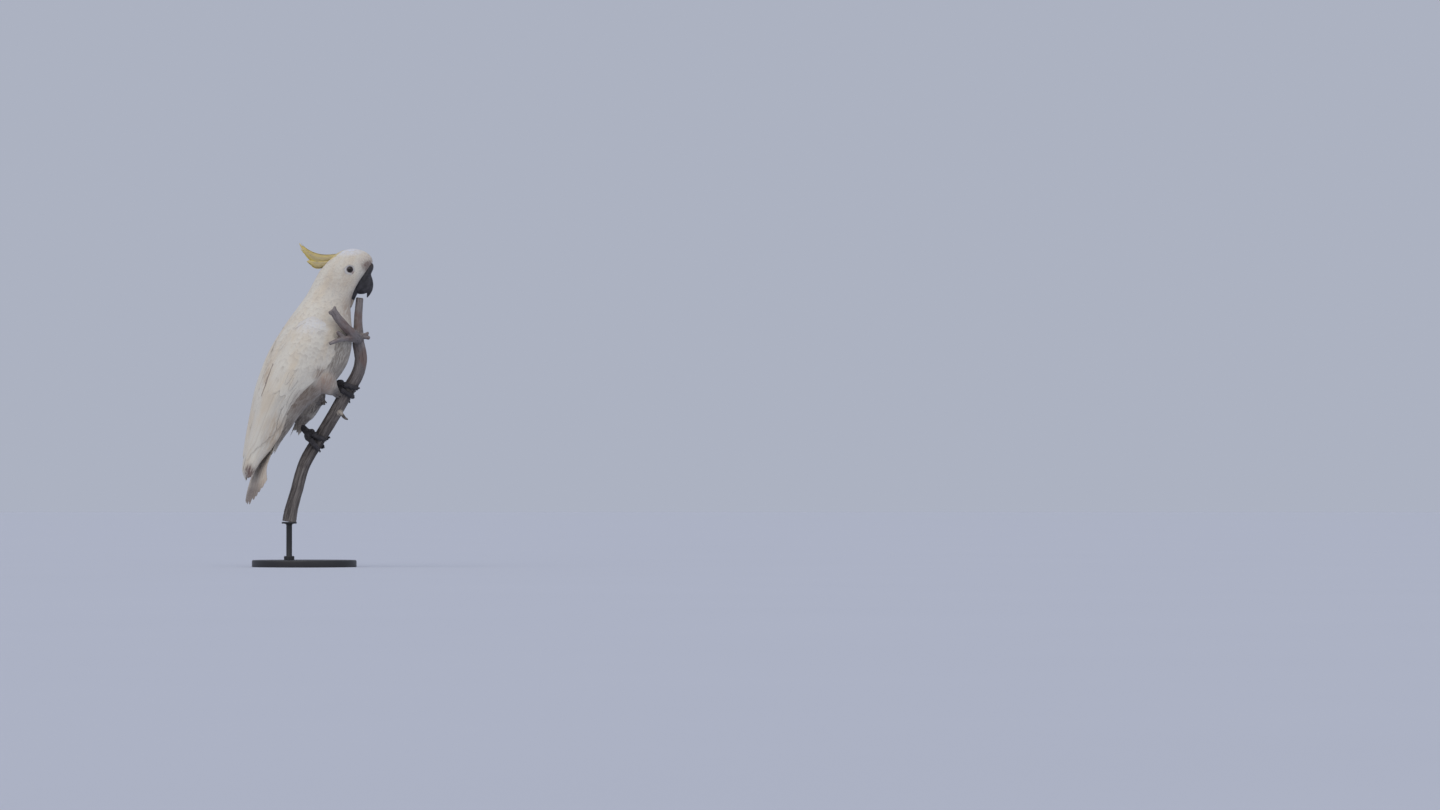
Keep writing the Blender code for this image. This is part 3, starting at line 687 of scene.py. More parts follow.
def eye_ring(side):
    """The bare ring with its lids: a turned sheet that dips under the feathers and into the socket."""
    centre = np.array((eye_x, side * eye_side, eye_z))
    around = np.linspace(0, 2 * math.pi, EYE_SIDES, endpoint=False)
    rings = []
    radii = np.concatenate([np.linspace(EYE_OPENING - 0.75, EYE_OPENING + 0.9, 10),
                            np.linspace(EYE_OPENING + 1.3, EYE_RING + 2.4, 18)])
    ball = eye_radius / MM
    for radius in radii:
        past = radius - EYE_OPENING
        lid = math.sqrt(ball ** 2 - min(radius, ball - 0.8) ** 2)
        rim = LID_HEIGHT * math.exp(-(past / 0.6) ** 2) - 1.6 * max(0.0, -past - 0.1)
        settle = min(1.0, max(0.0, past) / 2.2)
        settle = settle * settle * (3 - 2 * settle)
        ring = []
        for turn in around:
            cheek = CHEEK_HEIGHT - eye_side / MM - 0.009 * radius ** 2
            cheek -= radius * (CHEEK_SLOPE_X * math.cos(turn) + CHEEK_SLOPE_Z * math.sin(turn))
            cheek -= RING_DEPTH + 0.5 * max(0.0, radius - EYE_RING)
            height = lid * (1 - settle) + cheek * settle + rim
            flat = 1 - 0.10 * max(0.0, math.sin(turn)) ** 2 * math.exp(-(past / 1.2) ** 2)
            wander = noise.noise(Vector((2 * math.cos(turn), 2 * math.sin(turn), past * 0.5)))
            crease = 0.10 * math.sin(past * 3.4 + 4.0 * wander) * settle
            crease += 0.10 * noise.noise(Vector((9 * math.cos(turn), 9 * math.sin(turn), past * 0.8)))
            ring.append(centre + np.array((radius * flat * math.cos(turn),
                                           side * (height + crease),
                                           radius * flat * math.sin(turn))) * MM)
        rings.append(ring)
    inner = [[point - np.array((0, side * RING_WALL * MM, 0)) for point in ring] for ring in rings]
    return loft("eye_ring", rings + inner[::-1], capped=False)


def body_skin():
    parts = [copy_of(name) for name in ("head", "neck", "trunk", "thigh_left", "thigh_right",
                                        "eye_left", "eye_right", "bill_upper")]
    parts += [copy_of(name, WING_FLESH_END * MM) for name in ("wing_left", "wing_right")]
    skin = remesh(join(*parts), SKIN_VOXEL, 6)
    skin.name = skin.data.name = "skin"
    places, normals = points_of(skin)
    from_bill = np.linalg.norm(places - np.array((bill_high.x, 0, eye_z)), axis=1)
    depth = np.interp(from_bill, (0.02, 0.14), (COAT_DEPTH_FACE, COAT_DEPTH_BODY))
    from_eye = np.hypot(places[:, 0] - eye_x, places[:, 2] - eye_z)
    near = np.clip((0.012 - from_eye) / 0.003, 0, 1) * (abs(places[:, 1]) > SIDE_OF_HEAD)
    depth += near * SOCKET_DEPTH
    beak = np.clip((places[:, 0] - bill_low.x - 0.018) / 0.01, 0, 1)
    depth += beak * np.clip((bill_high.z + 0.001 - places[:, 2]) / 0.004, 0, 1) * BILL_BED
    move_points(skin, places - normals * (depth * MM)[:, None])
    skin = join(skin, eye_ring(1), eye_ring(-1))
    skin.data.shade_smooth()
    complete(skin, skin_finish(), "white_feather", "head", "neck", "trunk", "thigh_left",
             "thigh_right", "wing_left", "wing_right")


body_skin()


# Small feathers of head, neck and body ------------------------------------------------------
# Each feather is a thin closed vane, rooted in the skin and lying back along the body over the
# next ones.  They are smallest round the bill and the eyes, and longest under the tail.

SIDES = (("right", -1), ("left", 1))   # each side's name and the sign of its Y
BODY_YAW = math.radians(18)            # the trunk is turned this far from the head
YAW_PIVOT_X = 45.0
SQUARENESS = 2.15                      # of the body's oval sections; 2 is an ellipse
# Sections: back (x, z), belly (x, z), half width, share of the turn
HEAD_AND_NECK = [
    (117.5, 525.5, 80.0, 474.0, 10.0, 0.0), (115.0, 534.0, 79.0, 465.5, 16.5, 0.0),
    (109.0, 540.5, 79.0, 460.0, 21.0, 0.0), (99.5, 545.5, 79.0, 455.5, 24.5, 0.0),
    (83.0, 549.0, 79.0, 451.5, 27.0, 0.0), (64.0, 544.5, 79.0, 447.0, 28.0, 0.0),
    (45.0, 532.0, 79.0, 443.0, 28.0, 0.02), (27.5, 512.0, 79.5, 437.5, 28.0, 0.1),
    (15.5, 490.5, 79.5, 431.0, 29.5, 0.28), (3.5, 468.0, 80.0, 421.0, 34.0, 0.5),
]
TRUNK = [
    (-11.0, 447.0, 80.0, 408.0, 42.0, 0.72), (-29.0, 420.5, 79.0, 391.0, 51.0, 0.9),
    (-45.0, 392.0, 76.0, 370.0, 56.0, 1.0), (-59.0, 362.5, 68.0, 346.0, 58.0, 1.0),
    (-71.0, 330.5, 49.0, 319.0, 57.0, 1.0), (-81.0, 297.0, 22.0, 294.0, 52.0, 1.0),
    (-87.0, 264.5, -8.0, 265.0, 44.0, 1.0),
]
RUMP = [(-88.5, 236.0, -25.0, 239.0, 33.0, 1.0), (-85.0, 211.0, -42.0, 214.5, 22.0, 1.0)]
WING_ENDS = [
    (-94.5, 226.5, -22.0, 231.0, 37.0, 1.0), (-99.5, 202.0, -47.0, 207.0, 31.0, 1.0),
    (-103.5, 180.0, -71.0, 187.0, 27.5, 1.0), (-105.5, 164.0, -85.0, 169.0, 25.0, 1.0),
    (-102.5, 152.0, -94.5, 154.0, 23.0, 1.0),
]
WING_START = 10.15                     # section number of the folded wrist
# Degrees from the back at twelve places from wrist to tip, where the wings meet over the back
WING_BACK_EDGE = {-1: [58, 33, 23, 20, 20, 19, 13, 6, 1, -1, 0, 8],
                  1: [50, 20, 6, -3, -5, -5, -5, -5, -3, -1, 2, 10]}
WING_LOWER_EDGE = [72, 94, 102, 102, 98, 91, 90, 84, 82, 82, 84, 84]
PATCH = 0.003                          # size of one feather on the bake map
ALL_ROUND = (-math.pi, math.pi)
TRIAL_PICKS = 4000                     # for a first measure of a surface's room
TRIES = 7.0                            # roots tried for each one that finds room
RISE = 0.4                             # a feather rises fast from the skin and then lies along
RIM_LAID = 0.20                        # share of its rise by which its rim presses into the next
# Feather sizes by section number: length, width, spacing, root depth, tip height
FEATHER_SIZES = [
    (0.0, 2.6, 1.4, 0.80, -0.30, 0.10), (1.0, 3.8, 1.8, 1.00, -0.35, 0.12),
    (3.0, 6.5, 2.7, 1.35, -0.45, 0.13), (5.0, 9.5, 4.0, 1.8, -0.55, 0.13),
    (7.0, 13.0, 5.8, 2.5, -0.65, 0.13), (9.0, 17.0, 7.8, 3.2, -0.75, 0.13),
    (11.0, 20.0, 10.0, 3.9, -0.85, 0.13), (14.0, 24.0, 12.0, 4.5, -0.9, 0.13),
    (16.0, 28.0, 13.0, 4.9, -0.9, 0.1), (18.0, 34.0, 13.0, 5.3, -0.9, 0.1),
]


def turned(x, side, z, turn):
    """Place of a profile point that lies side millimetres left of the body's middle plane."""
    yaw = BODY_YAW * turn
    return np.stack([x - side * np.sin(yaw), (x - YAW_PIVOT_X) * np.tan(yaw) + side * np.cos(yaw),
                     z], -1) * MM


def oval(rows, angle, lift):
    """Places on oval sections; the angle is from the back toward the left, lift in millimetres."""
    back, belly, width, turn = rows[..., 0:2], rows[..., 2:4], rows[..., 4], rows[..., 5]
    half = np.linalg.norm(back - belly, axis=-1) / 2
    axis = (back - belly) / (2 * half[..., None])

    def rounded(value):
        return np.sign(value) * abs(value) ** (2 / SQUARENESS)

    place = (back + belly) / 2 + axis * ((half + lift) * rounded(np.cos(angle)))[..., None]
    return turned(place[..., 0], (width + lift) * rounded(np.sin(angle)), place[..., 1], turn)


# Past the rump the coat runs on over the roots of the tail.
OVER_TAIL = [(-83.5, 188.0, -54.0, 192.0, 17.0, 1.0), (-86.0, 165.0, -66.0, 169.0, 16.0, 1.0)]
BODY_ROWS = np.array(HEAD_AND_NECK + TRUNK + RUMP + OVER_TAIL)
WING_ROWS = np.array(HEAD_AND_NECK + TRUNK + WING_ENDS)


def body_surface(a, b, lift):
    """a is the section number from the bill back, b the angle from the back."""
    a, b, lift = np.broadcast_arrays(a, b, lift)
    return oval(read_rows(BODY_ROWS, np.clip(a, 0, len(BODY_ROWS) - 1)), b, lift)


def slopes(surface, a, b, step=0.01):
    """How a surface's places change with a and b, and its outward normal."""
    with_a = (surface(a + step, b, 0.0) - surface(a - step, b, 0.0)) / (2 * step)
    with_b = (surface(a, b + step, 0.0) - surface(a, b - step, 0.0)) / (2 * step)
    outward = unit(surface(a, b, 1.0) - surface(a, b, 0.0))
    normal = unit(np.cross(with_a, with_b))
    normal *= np.sign((normal * outward).sum(-1, keepdims=True))
    return with_a, with_b, normal


def scatter(surface, a_range, b_range, spacing_at, seed, allowed=None):
    """Even but irregular root places on a surface, as (a, b) pairs."""
    chance = np.random.default_rng(seed)
    low, high = zip(a_range, b_range)

    def wanted(picks):
        """How many roots the surface holds for each unit of a and b, at each pick."""
        with_a, with_b, _ = slopes(surface, picks[:, 0], picks[:, 1])
        element = np.linalg.norm(np.cross(with_a, with_b), axis=1)
        return element / (spacing_at(picks[:, 0]) * MM) ** 2

    trial = wanted(chance.uniform(low, high, (TRIAL_PICKS, 2)))
    count = int(TRIES * trial.mean() * (high[0] - low[0]) * (high[1] - low[1])) + 50
    picks = chance.uniform(low, high, (int(count * trial.max() / trial.mean()), 2))
    picks = picks[chance.uniform(0, trial.max(), len(picks)) < wanted(picks)]
    places = surface(picks[:, 0], picks[:, 1], 0.0)
    if allowed:
        keep = allowed(picks[:, 0], picks[:, 1], places)
        picks, places = picks[keep], places[keep]
    gaps = spacing_at(picks[:, 0]) * MM
    cell = gaps.max()
    taken, chosen = {}, []
    for number, (place, gap) in enumerate(zip(places.tolist(), gaps.tolist())):
        home = tuple(int(value // cell) for value in place)
        near = itertools.product(*((value - 1, value, value + 1) for value in home))
        if all(math.dist(place, other) >= gap for key in near for other in taken.get(key, ())):
            taken.setdefault(home, []).append(place)
            chosen.append(number)
    return picks[chosen]


def spread_out(a_start, a_size, b_start, b_size):
    """Gives each feather its root's place on the bake map, which unwraps the surface it grows on."""
    return lambda a, b: np.column_stack([a_start + a_size * a, b_start + b_size * b])


def moves(offset, with_a, with_b):
    """How far a and b have to go for each offset along a surface, in metres."""
    aa, ab, bb, on_a, on_b = (np.einsum("...k,...k->...", one, other) for one, other in (
        (with_a, with_a), (with_a, with_b), (with_b, with_b), (offset, with_a), (offset, with_b)))
    spread = aa * bb - ab ** 2
    return (bb * on_a - ab * on_b) / spread, (aa * on_b - ab * on_a) / spread


def vane_corners(columns, rows):
    """Faces of one closed vane, whose top and under sheets share their rim.

    Gives the faces, how many of them are upper ones, and for each corner its place on the grid.
    """
    top = np.arange((rows + 1) * (columns + 1)).reshape(rows + 1, columns + 1)
    under = top.copy()
    inside = (rows - 1) * (columns - 1)
    under[1:-1, 1:-1] = top.size + np.arange(inside).reshape(rows - 1, columns - 1)
    upper = np.stack([top[:-1, :-1], top[1:, :-1], top[1:, 1:], top[:-1, 1:]], -1)
    lower = np.stack([under[:-1, :-1], under[:-1, 1:], under[1:, 1:], under[1:, :-1]], -1)
    for sheet in (upper, lower):        # a face is cut from its first corner to its third
        half = columns // 2
        sheet[1:, :half] = np.roll(sheet[1:, :half], 1, axis=-1)
        sheet[0, half:] = np.roll(sheet[0, half:], 1, axis=-1)
    on_grid = np.concatenate([top.ravel(), top[1:-1, 1:-1].ravel()])
    faces = np.vstack([upper.reshape(-1, 4), lower.reshape(-1, 4)])
    return faces, rows * columns, on_grid


def grid_normals(grid):
    """Normals of sheets given as rows and columns of places, all to the side of the middle one."""
    normals = unit(np.cross(np.gradient(grid, axis=1), np.gradient(grid, axis=2)))
    middle = normals[:, grid.shape[1] // 2, grid.shape[2] // 2][:, None, None]
    return normals * np.sign((normals * middle).sum(-1, keepdims=True) + 1e-9)


def vane_piece(name, surface, at_a, at_b, lift, under_lift, across, along, homes, finish, slot,
               soft, chance):
    """Many closed vanes in one piece, with the bake map and the vanes' own map.

    Their corners stand at at_a and at_b on the surface, at two heights for their upper and under
    sides.  soft is the share of the surface's own normals that the upper sides take on, so that
    light falls over them as over loose plumage.
    """
    top, under = surface(at_a, at_b, lift), surface(at_a, at_b, under_lift)
    base = surface(at_a, at_b, 0.0)
    count, rows, columns = top.shape[0], top.shape[1] - 1, top.shape[2] - 1
    row, column = rows // 2, columns // 2
    middle = top[:, row, column]
    facing = np.cross(top[:, row + 1, column] - middle, top[:, row, column + 1] - middle)
    if (facing * (middle - under[:, row, column])).sum() < 0:
        top, under, base = top[:, :, ::-1], under[:, :, ::-1], base[:, :, ::-1]
        across, along = across[..., ::-1], along[..., ::-1]
    corners, upper_count, on_grid = vane_corners(columns, rows)
    used = len(on_grid)

    def flat(upper, lower):
        """Values of the upper grid, and of the under one inside its rim, in one row."""
        return np.concatenate([upper.reshape(count, -1, *upper.shape[3:]),
                               lower[:, 1:-1, 1:-1].reshape(count, -1, *upper.shape[3:])], 1)

    shape = (count, rows + 1, columns + 1)
    across, along = np.broadcast_to(across, shape), np.broadcast_to(along, shape)
    own = np.stack([flat(across, across) * 0.5 + 0.5, flat(along, along)], -1)
    baked = homes[:, None, :] + PATCH * (own - 0.5)
    index = (corners[None] + (np.arange(count) * used)[:, None, None]).reshape(-1)
    mesh = bpy.data.meshes.new(name)
    mesh.vertices.add(count * used)
    mesh.vertices.foreach_set("co", flat(top, under).astype(np.float32).ravel())
    mesh.loops.add(len(index))
    mesh.loops.foreach_set("vertex_index", index.astype(np.int32))
    mesh.polygons.add(len(index) // 4)
    mesh.polygons.foreach_set("loop_start", np.arange(0, len(index), 4, dtype=np.int32))
    for map_name, values in (("OFBake", baked), ("vane", own)):
        layer = mesh.uv_layers.new(name=map_name)
        layer.data.foreach_set("uv", values.reshape(-1, 2)[index].astype(np.float32).ravel())
    mesh.update(calc_edges=True)
    mesh.validate()
    mesh.shade_smooth()
    body = grid_normals(base).reshape(count, -1, 3)
    own_side = grid_normals(top).reshape(count, -1, 3)
    upper = unit(own_side * (1 - soft) + body * soft)
    lower = unit(body * 0.5 - own_side)
    faced = on_grid[corners]
    normals = np.concatenate([upper[:, faced[:upper_count].ravel()],
                              lower[:, faced[upper_count:].ravel()]], 1)
    mesh.normals_split_custom_set(normals.reshape(-1, 3))
    shade = mesh.attributes.new("shade", "FLOAT", "POINT")
    shade.data.foreach_set("value", np.repeat(chance.uniform(0, 1, count), used).astype(np.float32))
    made = add_object(name, mesh)
    complete(made, finish, slot)
    return made


def each(values):
    """One value for each feather, for sums over its rows and columns."""
    return values[:, None, None]


def small_feathers(name, surface, sizes, a_range, b_range, finish, home_of, seeds, allowed=None,
                   columns=6, rows=5, around=None, ragged=0.10, turn=7.0, curl=0.0):
    """Body feathers all over a part of a surface.

    sizes has rows of a, length, width, spacing, root depth and tip height.  One seed is for the
    places of the roots and the other for the feathers' own shapes.
    """
    at, length, width, spacing, low, high = np.array(sizes, float).T
    a, b = scatter(surface, a_range, b_range, lambda a: np.interp(a, at, spacing), seeds[0], allowed).T
    length, width, low, high = (np.interp(a, at, size) for size in (length, width, low, high))
    chance = np.random.default_rng(seeds[1])
    count = len(a)
    length *= chance.uniform(0.78, 1.22, count)
    width *= chance.uniform(0.85, 1.15, count)
    with_a, with_b, normal = slopes(surface, a, b)
    forward = unit(with_a)
    heading = np.radians(chance.normal(0, turn, count))[:, None]
    forward = forward * np.cos(heading) + np.cross(normal, forward) * np.sin(heading)
    if around:
        forward, length = around(surface(a, b, 0.0), forward, normal, length)
    sideways = np.cross(normal, forward)
    lines = np.sin(np.linspace(-1, 1, columns + 1) * math.pi / 2)
    steps = (1 - (1 - np.linspace(0, 1, rows + 1)) ** 1.6)[:, None]
    arch = 1 - lines ** 2
    reach = 1 - 0.42 * (1 - np.sqrt(np.clip(arch, 0, 1)))
    reach = reach - chance.uniform(0, ragged, (count, columns + 1))
    along = steps * (1 + (reach[:, None, :] - 1) * steps)
    across = lines * (0.35 + 0.65 * np.sin(np.clip(steps / 0.5, 0, 1) * math.pi / 2))
    offset = (each(forward) * (along * each(length * MM))[..., None]
              + each(sideways) * (across * each(width * MM / 2))[..., None])
    move_a, move_b = moves(offset, each(with_a), each(with_b))
    rim = np.maximum(abs(lines) ** 8, np.clip((steps - 0.86) / 0.14, 0, 1) ** 2)
    lift = each(low) + each(high - low) * steps ** RISE - each(RIM_LAID * (high - low)) * rim
    lift = lift + each(curl * chance.uniform(0, 1, count) ** 3) * steps ** 3
    lift = lift + 0.014 * each(width) * arch
    lift = lift + chance.normal(0, 0.004, (count, 1, columns + 1)) * each(width) * steps
    thick = each(0.03 + 0.008 * width) * arch * (1 - 0.8 * steps)
    vane_piece(name, surface, each(a) + move_a, each(b) + move_b, lift, lift - thick - 0.04,
               lines[None, None], steps[None], home_of(a, b), finish, "white_feather", 0.65, chance)


def feather_finish(name, colour_of, ratio, barbs, shaft=0.35, edge=0.25, relief=0.00012,
                   rough=0.62, loose=0.0, hidden=0.6, covered_shade=0.25, worn=(0.46, 0.385, 0.32)):
    """A feather's own pattern over its colour: barbs slanting from a shaft, and a darker edge of painted
    shade and soiling.

    ratio is the vane's length by its width, barbs how many fit into its width, and loose the share
    of the barbs that hang apart as soft streaks.  Painted shade darkens the vane on its part up to
    hidden, the share of its length that the feathers over it cover.
    """
    vane = Finish(name, Sheen_Weight=0.25, Sheen_Roughness=0.6, Specular_IOR_Level=0.25)
    u, v, _ = vane.parts(vane.map_of("vane"))
    shade = vane.attribute("shade")
    from_shaft = (u - 0.5).size() * 2.0
    slant = v * ratio + 0.5 - from_shaft * (0.45 + 0.4 * loose)
    lines = (slant * (barbs * 2 * math.pi)).sine() * 0.5 + 0.5
    if loose:
        fan = vane.node("ShaderNodeCombineXYZ", {}, {0: (u - 0.5) * 11.0 / (v * 0.5 + 0.5),
                                                     1: v * 1.3, 2: shade * 90.0})
        streaks = vane.noise(fan, 1.0, 3.0, 0.6)
        lines = lines * (1 - loose) + streaks * loose
    ridge = from_shaft.eased(0.07, 0.02)
    covered = v.eased(hidden + 0.18, hidden - 0.10)
    # The worn colour along the rim is painted shade where the vanes overlap, and brown soiling on the tail
    # feathers.
    colour = vane.layers(colour_of(vane), (worn, from_shaft.eased(0.72, 1.0) * edge),
                         ((0.50, 0.46, 0.42), shade * 0.25),
                         # painted shade on the covered part of the vane, under the feathers over it
                         ((0.30, 0.26, 0.22), covered * (shade * 1.3 + 0.3) * covered_shade),
                         ((0.42, 0.38, 0.34), lines.eased(0.3, 0.75) * 0.16),
                         ((0.60, 0.50, 0.38), ridge * shaft))
    return vane.feed(colour, roughness=rough + shade * 0.15, relief=lines + ridge * (2.0 * shaft),
                     depth=relief, strength=0.6)


def round_eyes(places, forward, normal, length):
    """Turns feathers near an eye so that they run round its bare ring, and shortens them."""
    bare = EYE_RING * MM * 0.93
    for side in (1, -1):
        eye = np.array((eye_x, side * eye_side * 1.25, eye_z))
        toward = eye - places
        toward -= normal * (toward * normal).sum(-1, keepdims=True)
        distance = np.linalg.norm(toward, axis=-1, keepdims=True)
        toward = toward / distance
        same_side = (places[:, 1:2] * side) > 0.01
        near = np.clip((bare + 0.006 - distance) / 0.006, 0, 1) * same_side
        inward = np.clip((forward * toward).sum(-1, keepdims=True), 0, None)
        forward = unit(forward - toward * inward * near * 1.05)
        inward = np.clip((forward * toward).sum(-1), 0, None)
        room = np.where(inward > 0.25, (distance[:, 0] - bare) / np.maximum(inward, 0.25) / MM, 99.0)
        length = np.where(same_side[:, 0], np.minimum(length, np.maximum(room, 1.2)), length)
    return forward, length


def wing_edges(section, side):
    """Angles of a folded wing's two long edges at a section number."""
    edges = read_share(np.column_stack([WING_BACK_EDGE[side], WING_LOWER_EDGE]),
                       (section - WING_START) / (len(WING_ROWS) - 1 - WING_START))
    return np.radians(edges[..., 0]), np.radians(edges[..., 1])


def room_for_coat(a, b, places):
    """True where a body feather may be rooted: not on the eyes, nor under a wing."""
    from_eye = np.hypot(places[:, 0] - eye_x, places[:, 2] - eye_z)
    on_eye = (from_eye < EYE_RING * MM * 0.95) & (abs(places[:, 1]) > SIDE_OF_HEAD)
    allowed = ~on_eye
    for side in (1, -1):
        back_edge, lower_edge = wing_edges(a, side)
        allowed &= ~((a > WING_START + 0.5) & (b * side > back_edge + math.radians(9))
                     & (b * side < lower_edge - math.radians(11)))
    return allowed


def body_coat():
    white = feather_finish("white_feather_small", white_plumage, 2.0, 9.0, shaft=0.15, edge=0.3,
                           relief=0.00030, loose=0.9, hidden=0.74, covered_shade=0.16)
    # name, first and last section, seed, faces across and along a feather
    for name, first, last, seed, columns, rows in (
            ("coat_face", 0.12, 2.6, 11, 4, 4), ("coat_head", 2.6, 5.4, 12, 4, 5),
            ("coat_neck", 5.4, 9.0, 13, 6, 5), ("coat_breast_and_back", 9.0, 13.0, 14, 6, 5),
            ("coat_belly_and_rump", 13.0, 17.9, 15, 6, 5)):

        def home(a, b):
            return np.column_stack([0.5 + 0.48 * b / math.pi,
                                    0.02 + 0.96 * (a - first) / (last - first)])

        small_feathers(name, body_surface, FEATHER_SIZES, (first, last), ALL_ROUND, white, home,
                       (seed, seed), room_for_coat, columns, rows, around=round_eyes)


body_coat()


# Wings --------------------------------------------------------------------------------------
# Folded wings: long stiff flight feathers, overlapped at their roots by rows of coverts, and along
# the back by the scapulars.  The feathers nearest the back lie on top of the pile.

WING_PROUD = 4.5                       # how far the folded wing stands out from the trunk
WING_EDGE_SHARE = 0.4                  # of that, along the lower edge; hardly any at the back edge
LEFT_TIP_SHIFT = (7.0, 0.0, -5.0)      # the left wing's tip lies lower and nearer the tail


def wing_surface(side):
    """a runs from the wrist (0) to the wing tip (1), b from the back edge (0) to the lower one (1)."""
    def surface(a, b, lift):
        a, b, lift = np.broadcast_arrays(a, b, lift)
        kept = np.clip(a, 0, 1)
        section = WING_START + kept * (len(WING_ROWS) - 1 - WING_START)
        back_edge, lower_edge = wing_edges(section, side)
        angle = side * (back_edge + (lower_edge - back_edge) * b)
        edge = 0.05 + WING_EDGE_SHARE * np.clip((kept - 0.12) / 0.35, 0, 1) * np.clip(b, 0, 1)
        bulge = edge + (1 - edge) * np.sin(math.pi * np.clip(b, 0, 1)) ** 1.2
        ends = np.minimum(np.minimum(1.0, 0.02 + 5.0 * kept), 0.35 + 5 * (1 - kept))
        places = oval(read_rows(WING_ROWS, section), angle, WING_PROUD * bulge * ends + lift)
        if side > 0:
            past = np.clip((kept - 0.6) / 0.4, 0, None) ** 1.5
            places = places + past[..., None] * np.array(LEFT_TIP_SHIFT) * MM
        return places
    return surface


def long_feathers(name, surface, feathers, finish, home_of, seed, columns=8, rows=22,
                  tip_from=0.72, tip_power=2.0, root=0.5, shaft_at=0.0, slot="white_feather",
                  splits=0.06, thickness=0.35, rim_laid=0.22, soft=0.45):
    """Stiff feathers along lines on a surface.

    Each feather is (root a, root b, tip a, tip b, width, root lift, tip lift).
    """
    chance = np.random.default_rng(seed)
    root_a, root_b, tip_a, tip_b, width, low, high = np.array(feathers, float).T[..., None]
    count = len(feathers)
    steps = 1 - (1 - np.linspace(0, 1, rows + 1)) ** 1.45
    lines = np.linspace(-1, 1, columns + 1)
    lines = np.sign(lines) * abs(lines) ** 1.15
    swing = chance.normal(0, 0.006, (count, 1)) * np.sin(steps * math.pi)
    a = root_a + (tip_a - root_a) * steps
    b = root_b + (tip_b - root_b) * (steps * 0.6 + steps ** 2 * 0.4) + swing
    with_a, with_b, normal = slopes(surface, a, b)
    forward = unit(np.gradient(surface(a, b, 0.0), axis=1))
    rise = root + (1 - root) * np.sin(np.clip(steps / 0.35, 0, 1) * math.pi / 2)
    fall = np.sqrt(1 - np.clip((steps - tip_from) / (1 - tip_from), 0, 1) ** tip_power * 0.985)
    profile = (rise * fall)[:, None] * np.ones((count, 1, columns + 1))
    gaps = chance.uniform(0, 1, (count, rows + 1, 2)) ** 6 * splits * 3
    wavy = np.cumsum(chance.normal(0, splits * 0.25, (count, rows + 1, 2)), axis=1)
    profile[:, :, [0, -1]] *= 1 - np.clip(gaps + abs(wavy) * 0.4, 0, 0.2)
    across = (lines - shaft_at * (1 - lines ** 2)) * profile
    offset = np.cross(normal, forward)[:, :, None] * (across * each(width * MM / 2)[..., 0])[..., None]
    move_a, move_b = moves(offset, with_a[:, :, None], with_b[:, :, None])
    steps = steps[:, None]
    curve = 0.018 * width[..., None] * (1 - lines ** 2) * (1 - 0.7 * steps ** 3)
    ridge = 0.16 * np.exp(-((lines - shaft_at) / 0.09) ** 2) * (1 - steps)
    rim = np.maximum(abs(lines) ** 8, np.clip((steps - 0.93) / 0.07, 0, 1) ** 2)
    lift = low[..., None] + (high - low)[..., None] * steps ** RISE + curve + ridge - rim_laid * rim
    thick = thickness * (1 - lines ** 4) * (1 - 0.8 * steps) + 0.05
    homes = home_of(root_a[:, 0] * 0.35 + tip_a[:, 0] * 0.65, root_b[:, 0] * 0.5 + tip_b[:, 0] * 0.5)
    return vane_piece(name, surface, a[..., None] + move_a, b[..., None] + move_b, lift, lift - thick,
                      lines[None, None], steps[None], homes, finish, slot, soft, chance)


def primaries(under_other):
    tips = ((0.76, 0.08), (0.82, 0.03), (0.865, 0.03), (0.90, 0.06), (0.93, 0.11), (0.955, 0.19),
            (0.975, 0.30), (0.99, 0.46), (0.995, 0.62), (0.985, 0.90), (0.96, 1.2), (0.93, 1.45))
    for number, (tip_a, tip_b) in enumerate(tips):
        share = number / (len(tips) - 1)
        yield (0.42, 0.50 + 0.44 * share, tip_a, tip_b, 18.0 - 5.0 * share, -3.0 - 0.5 * share,
               -0.5 - 0.11 * number - under_other * (1 - share))


def secondaries(jitter):
    for number, share in enumerate(np.linspace(0, 1, 11)):
        yield (0.32, 0.93 - 0.62 * share, 0.60 + 0.165 * share + jitter(0.020),
               0.93 - 0.58 * share ** 1.1, 17.5, -2.8 + 0.5 * share, -0.95 + 0.06 * number)


def tertials(under_other):
    return [(0.28, 0.14, 0.90, 0.06, 16.0, -2.0, 0.0 - under_other),
            (0.27, 0.10, 0.82, -0.02, 17.0, -1.9, 0.1 - under_other),
            (0.26, 0.06, 0.72, -0.04, 17.0, -1.8, 0.15 - under_other),
            (0.28, 0.34, 0.72, 0.36, 18.0, -2.0, 0.05), (0.27, 0.26, 0.77, 0.26, 18.0, -1.8, 0.1),
            (0.26, 0.18, 0.71, 0.15, 17.0, -1.6, 0.2), (0.25, 0.11, 0.60, 0.08, 16.0, -1.4, 0.25)]


def primary_coverts():
    for number in range(6):
        yield (0.10 + 0.02 * number, 0.99 - 0.03 * number, 0.40 + 0.025 * number,
               1.0 - 0.035 * number, 10.0, -2.0, -0.35 + 0.05 * number)


def greater_coverts(jitter):
    for number, b in enumerate(np.linspace(0.96, 0.09, 14)):
        yield (0.27, b, 0.425 + 0.05 * b + jitter(0.014), b + jitter(0.014), 15.5, -1.9,
               -0.35 + 0.03 * number)


def median_coverts(jitter):
    for row, (root_a, tip_a) in enumerate(((0.245, 0.375), (0.205, 0.325))):
        for number, b in enumerate(np.linspace(0.99 - 0.03 * row, 0.07, 15)):
            yield (root_a, b, tip_a + 0.02 * b + jitter(0.012), b + jitter(0.016), 13.0, -1.5,
                   -0.15 + 0.06 * row + 0.02 * number)


def scapulars(jitter):
    for column, (b, width) in enumerate(((0.24, 15.0), (0.15, 16.0), (0.07, 15.0))):
        for number in range(7):
            root_a = 0.02 + 0.036 * number + 0.012 * column
            yield (root_a, b, root_a + 0.13 + 0.012 * number + jitter(0.008),
                   b * 0.8 + 0.02 + jitter(0.012), width, -1.4, 0.40 - 0.02 * number - 0.06 * column)


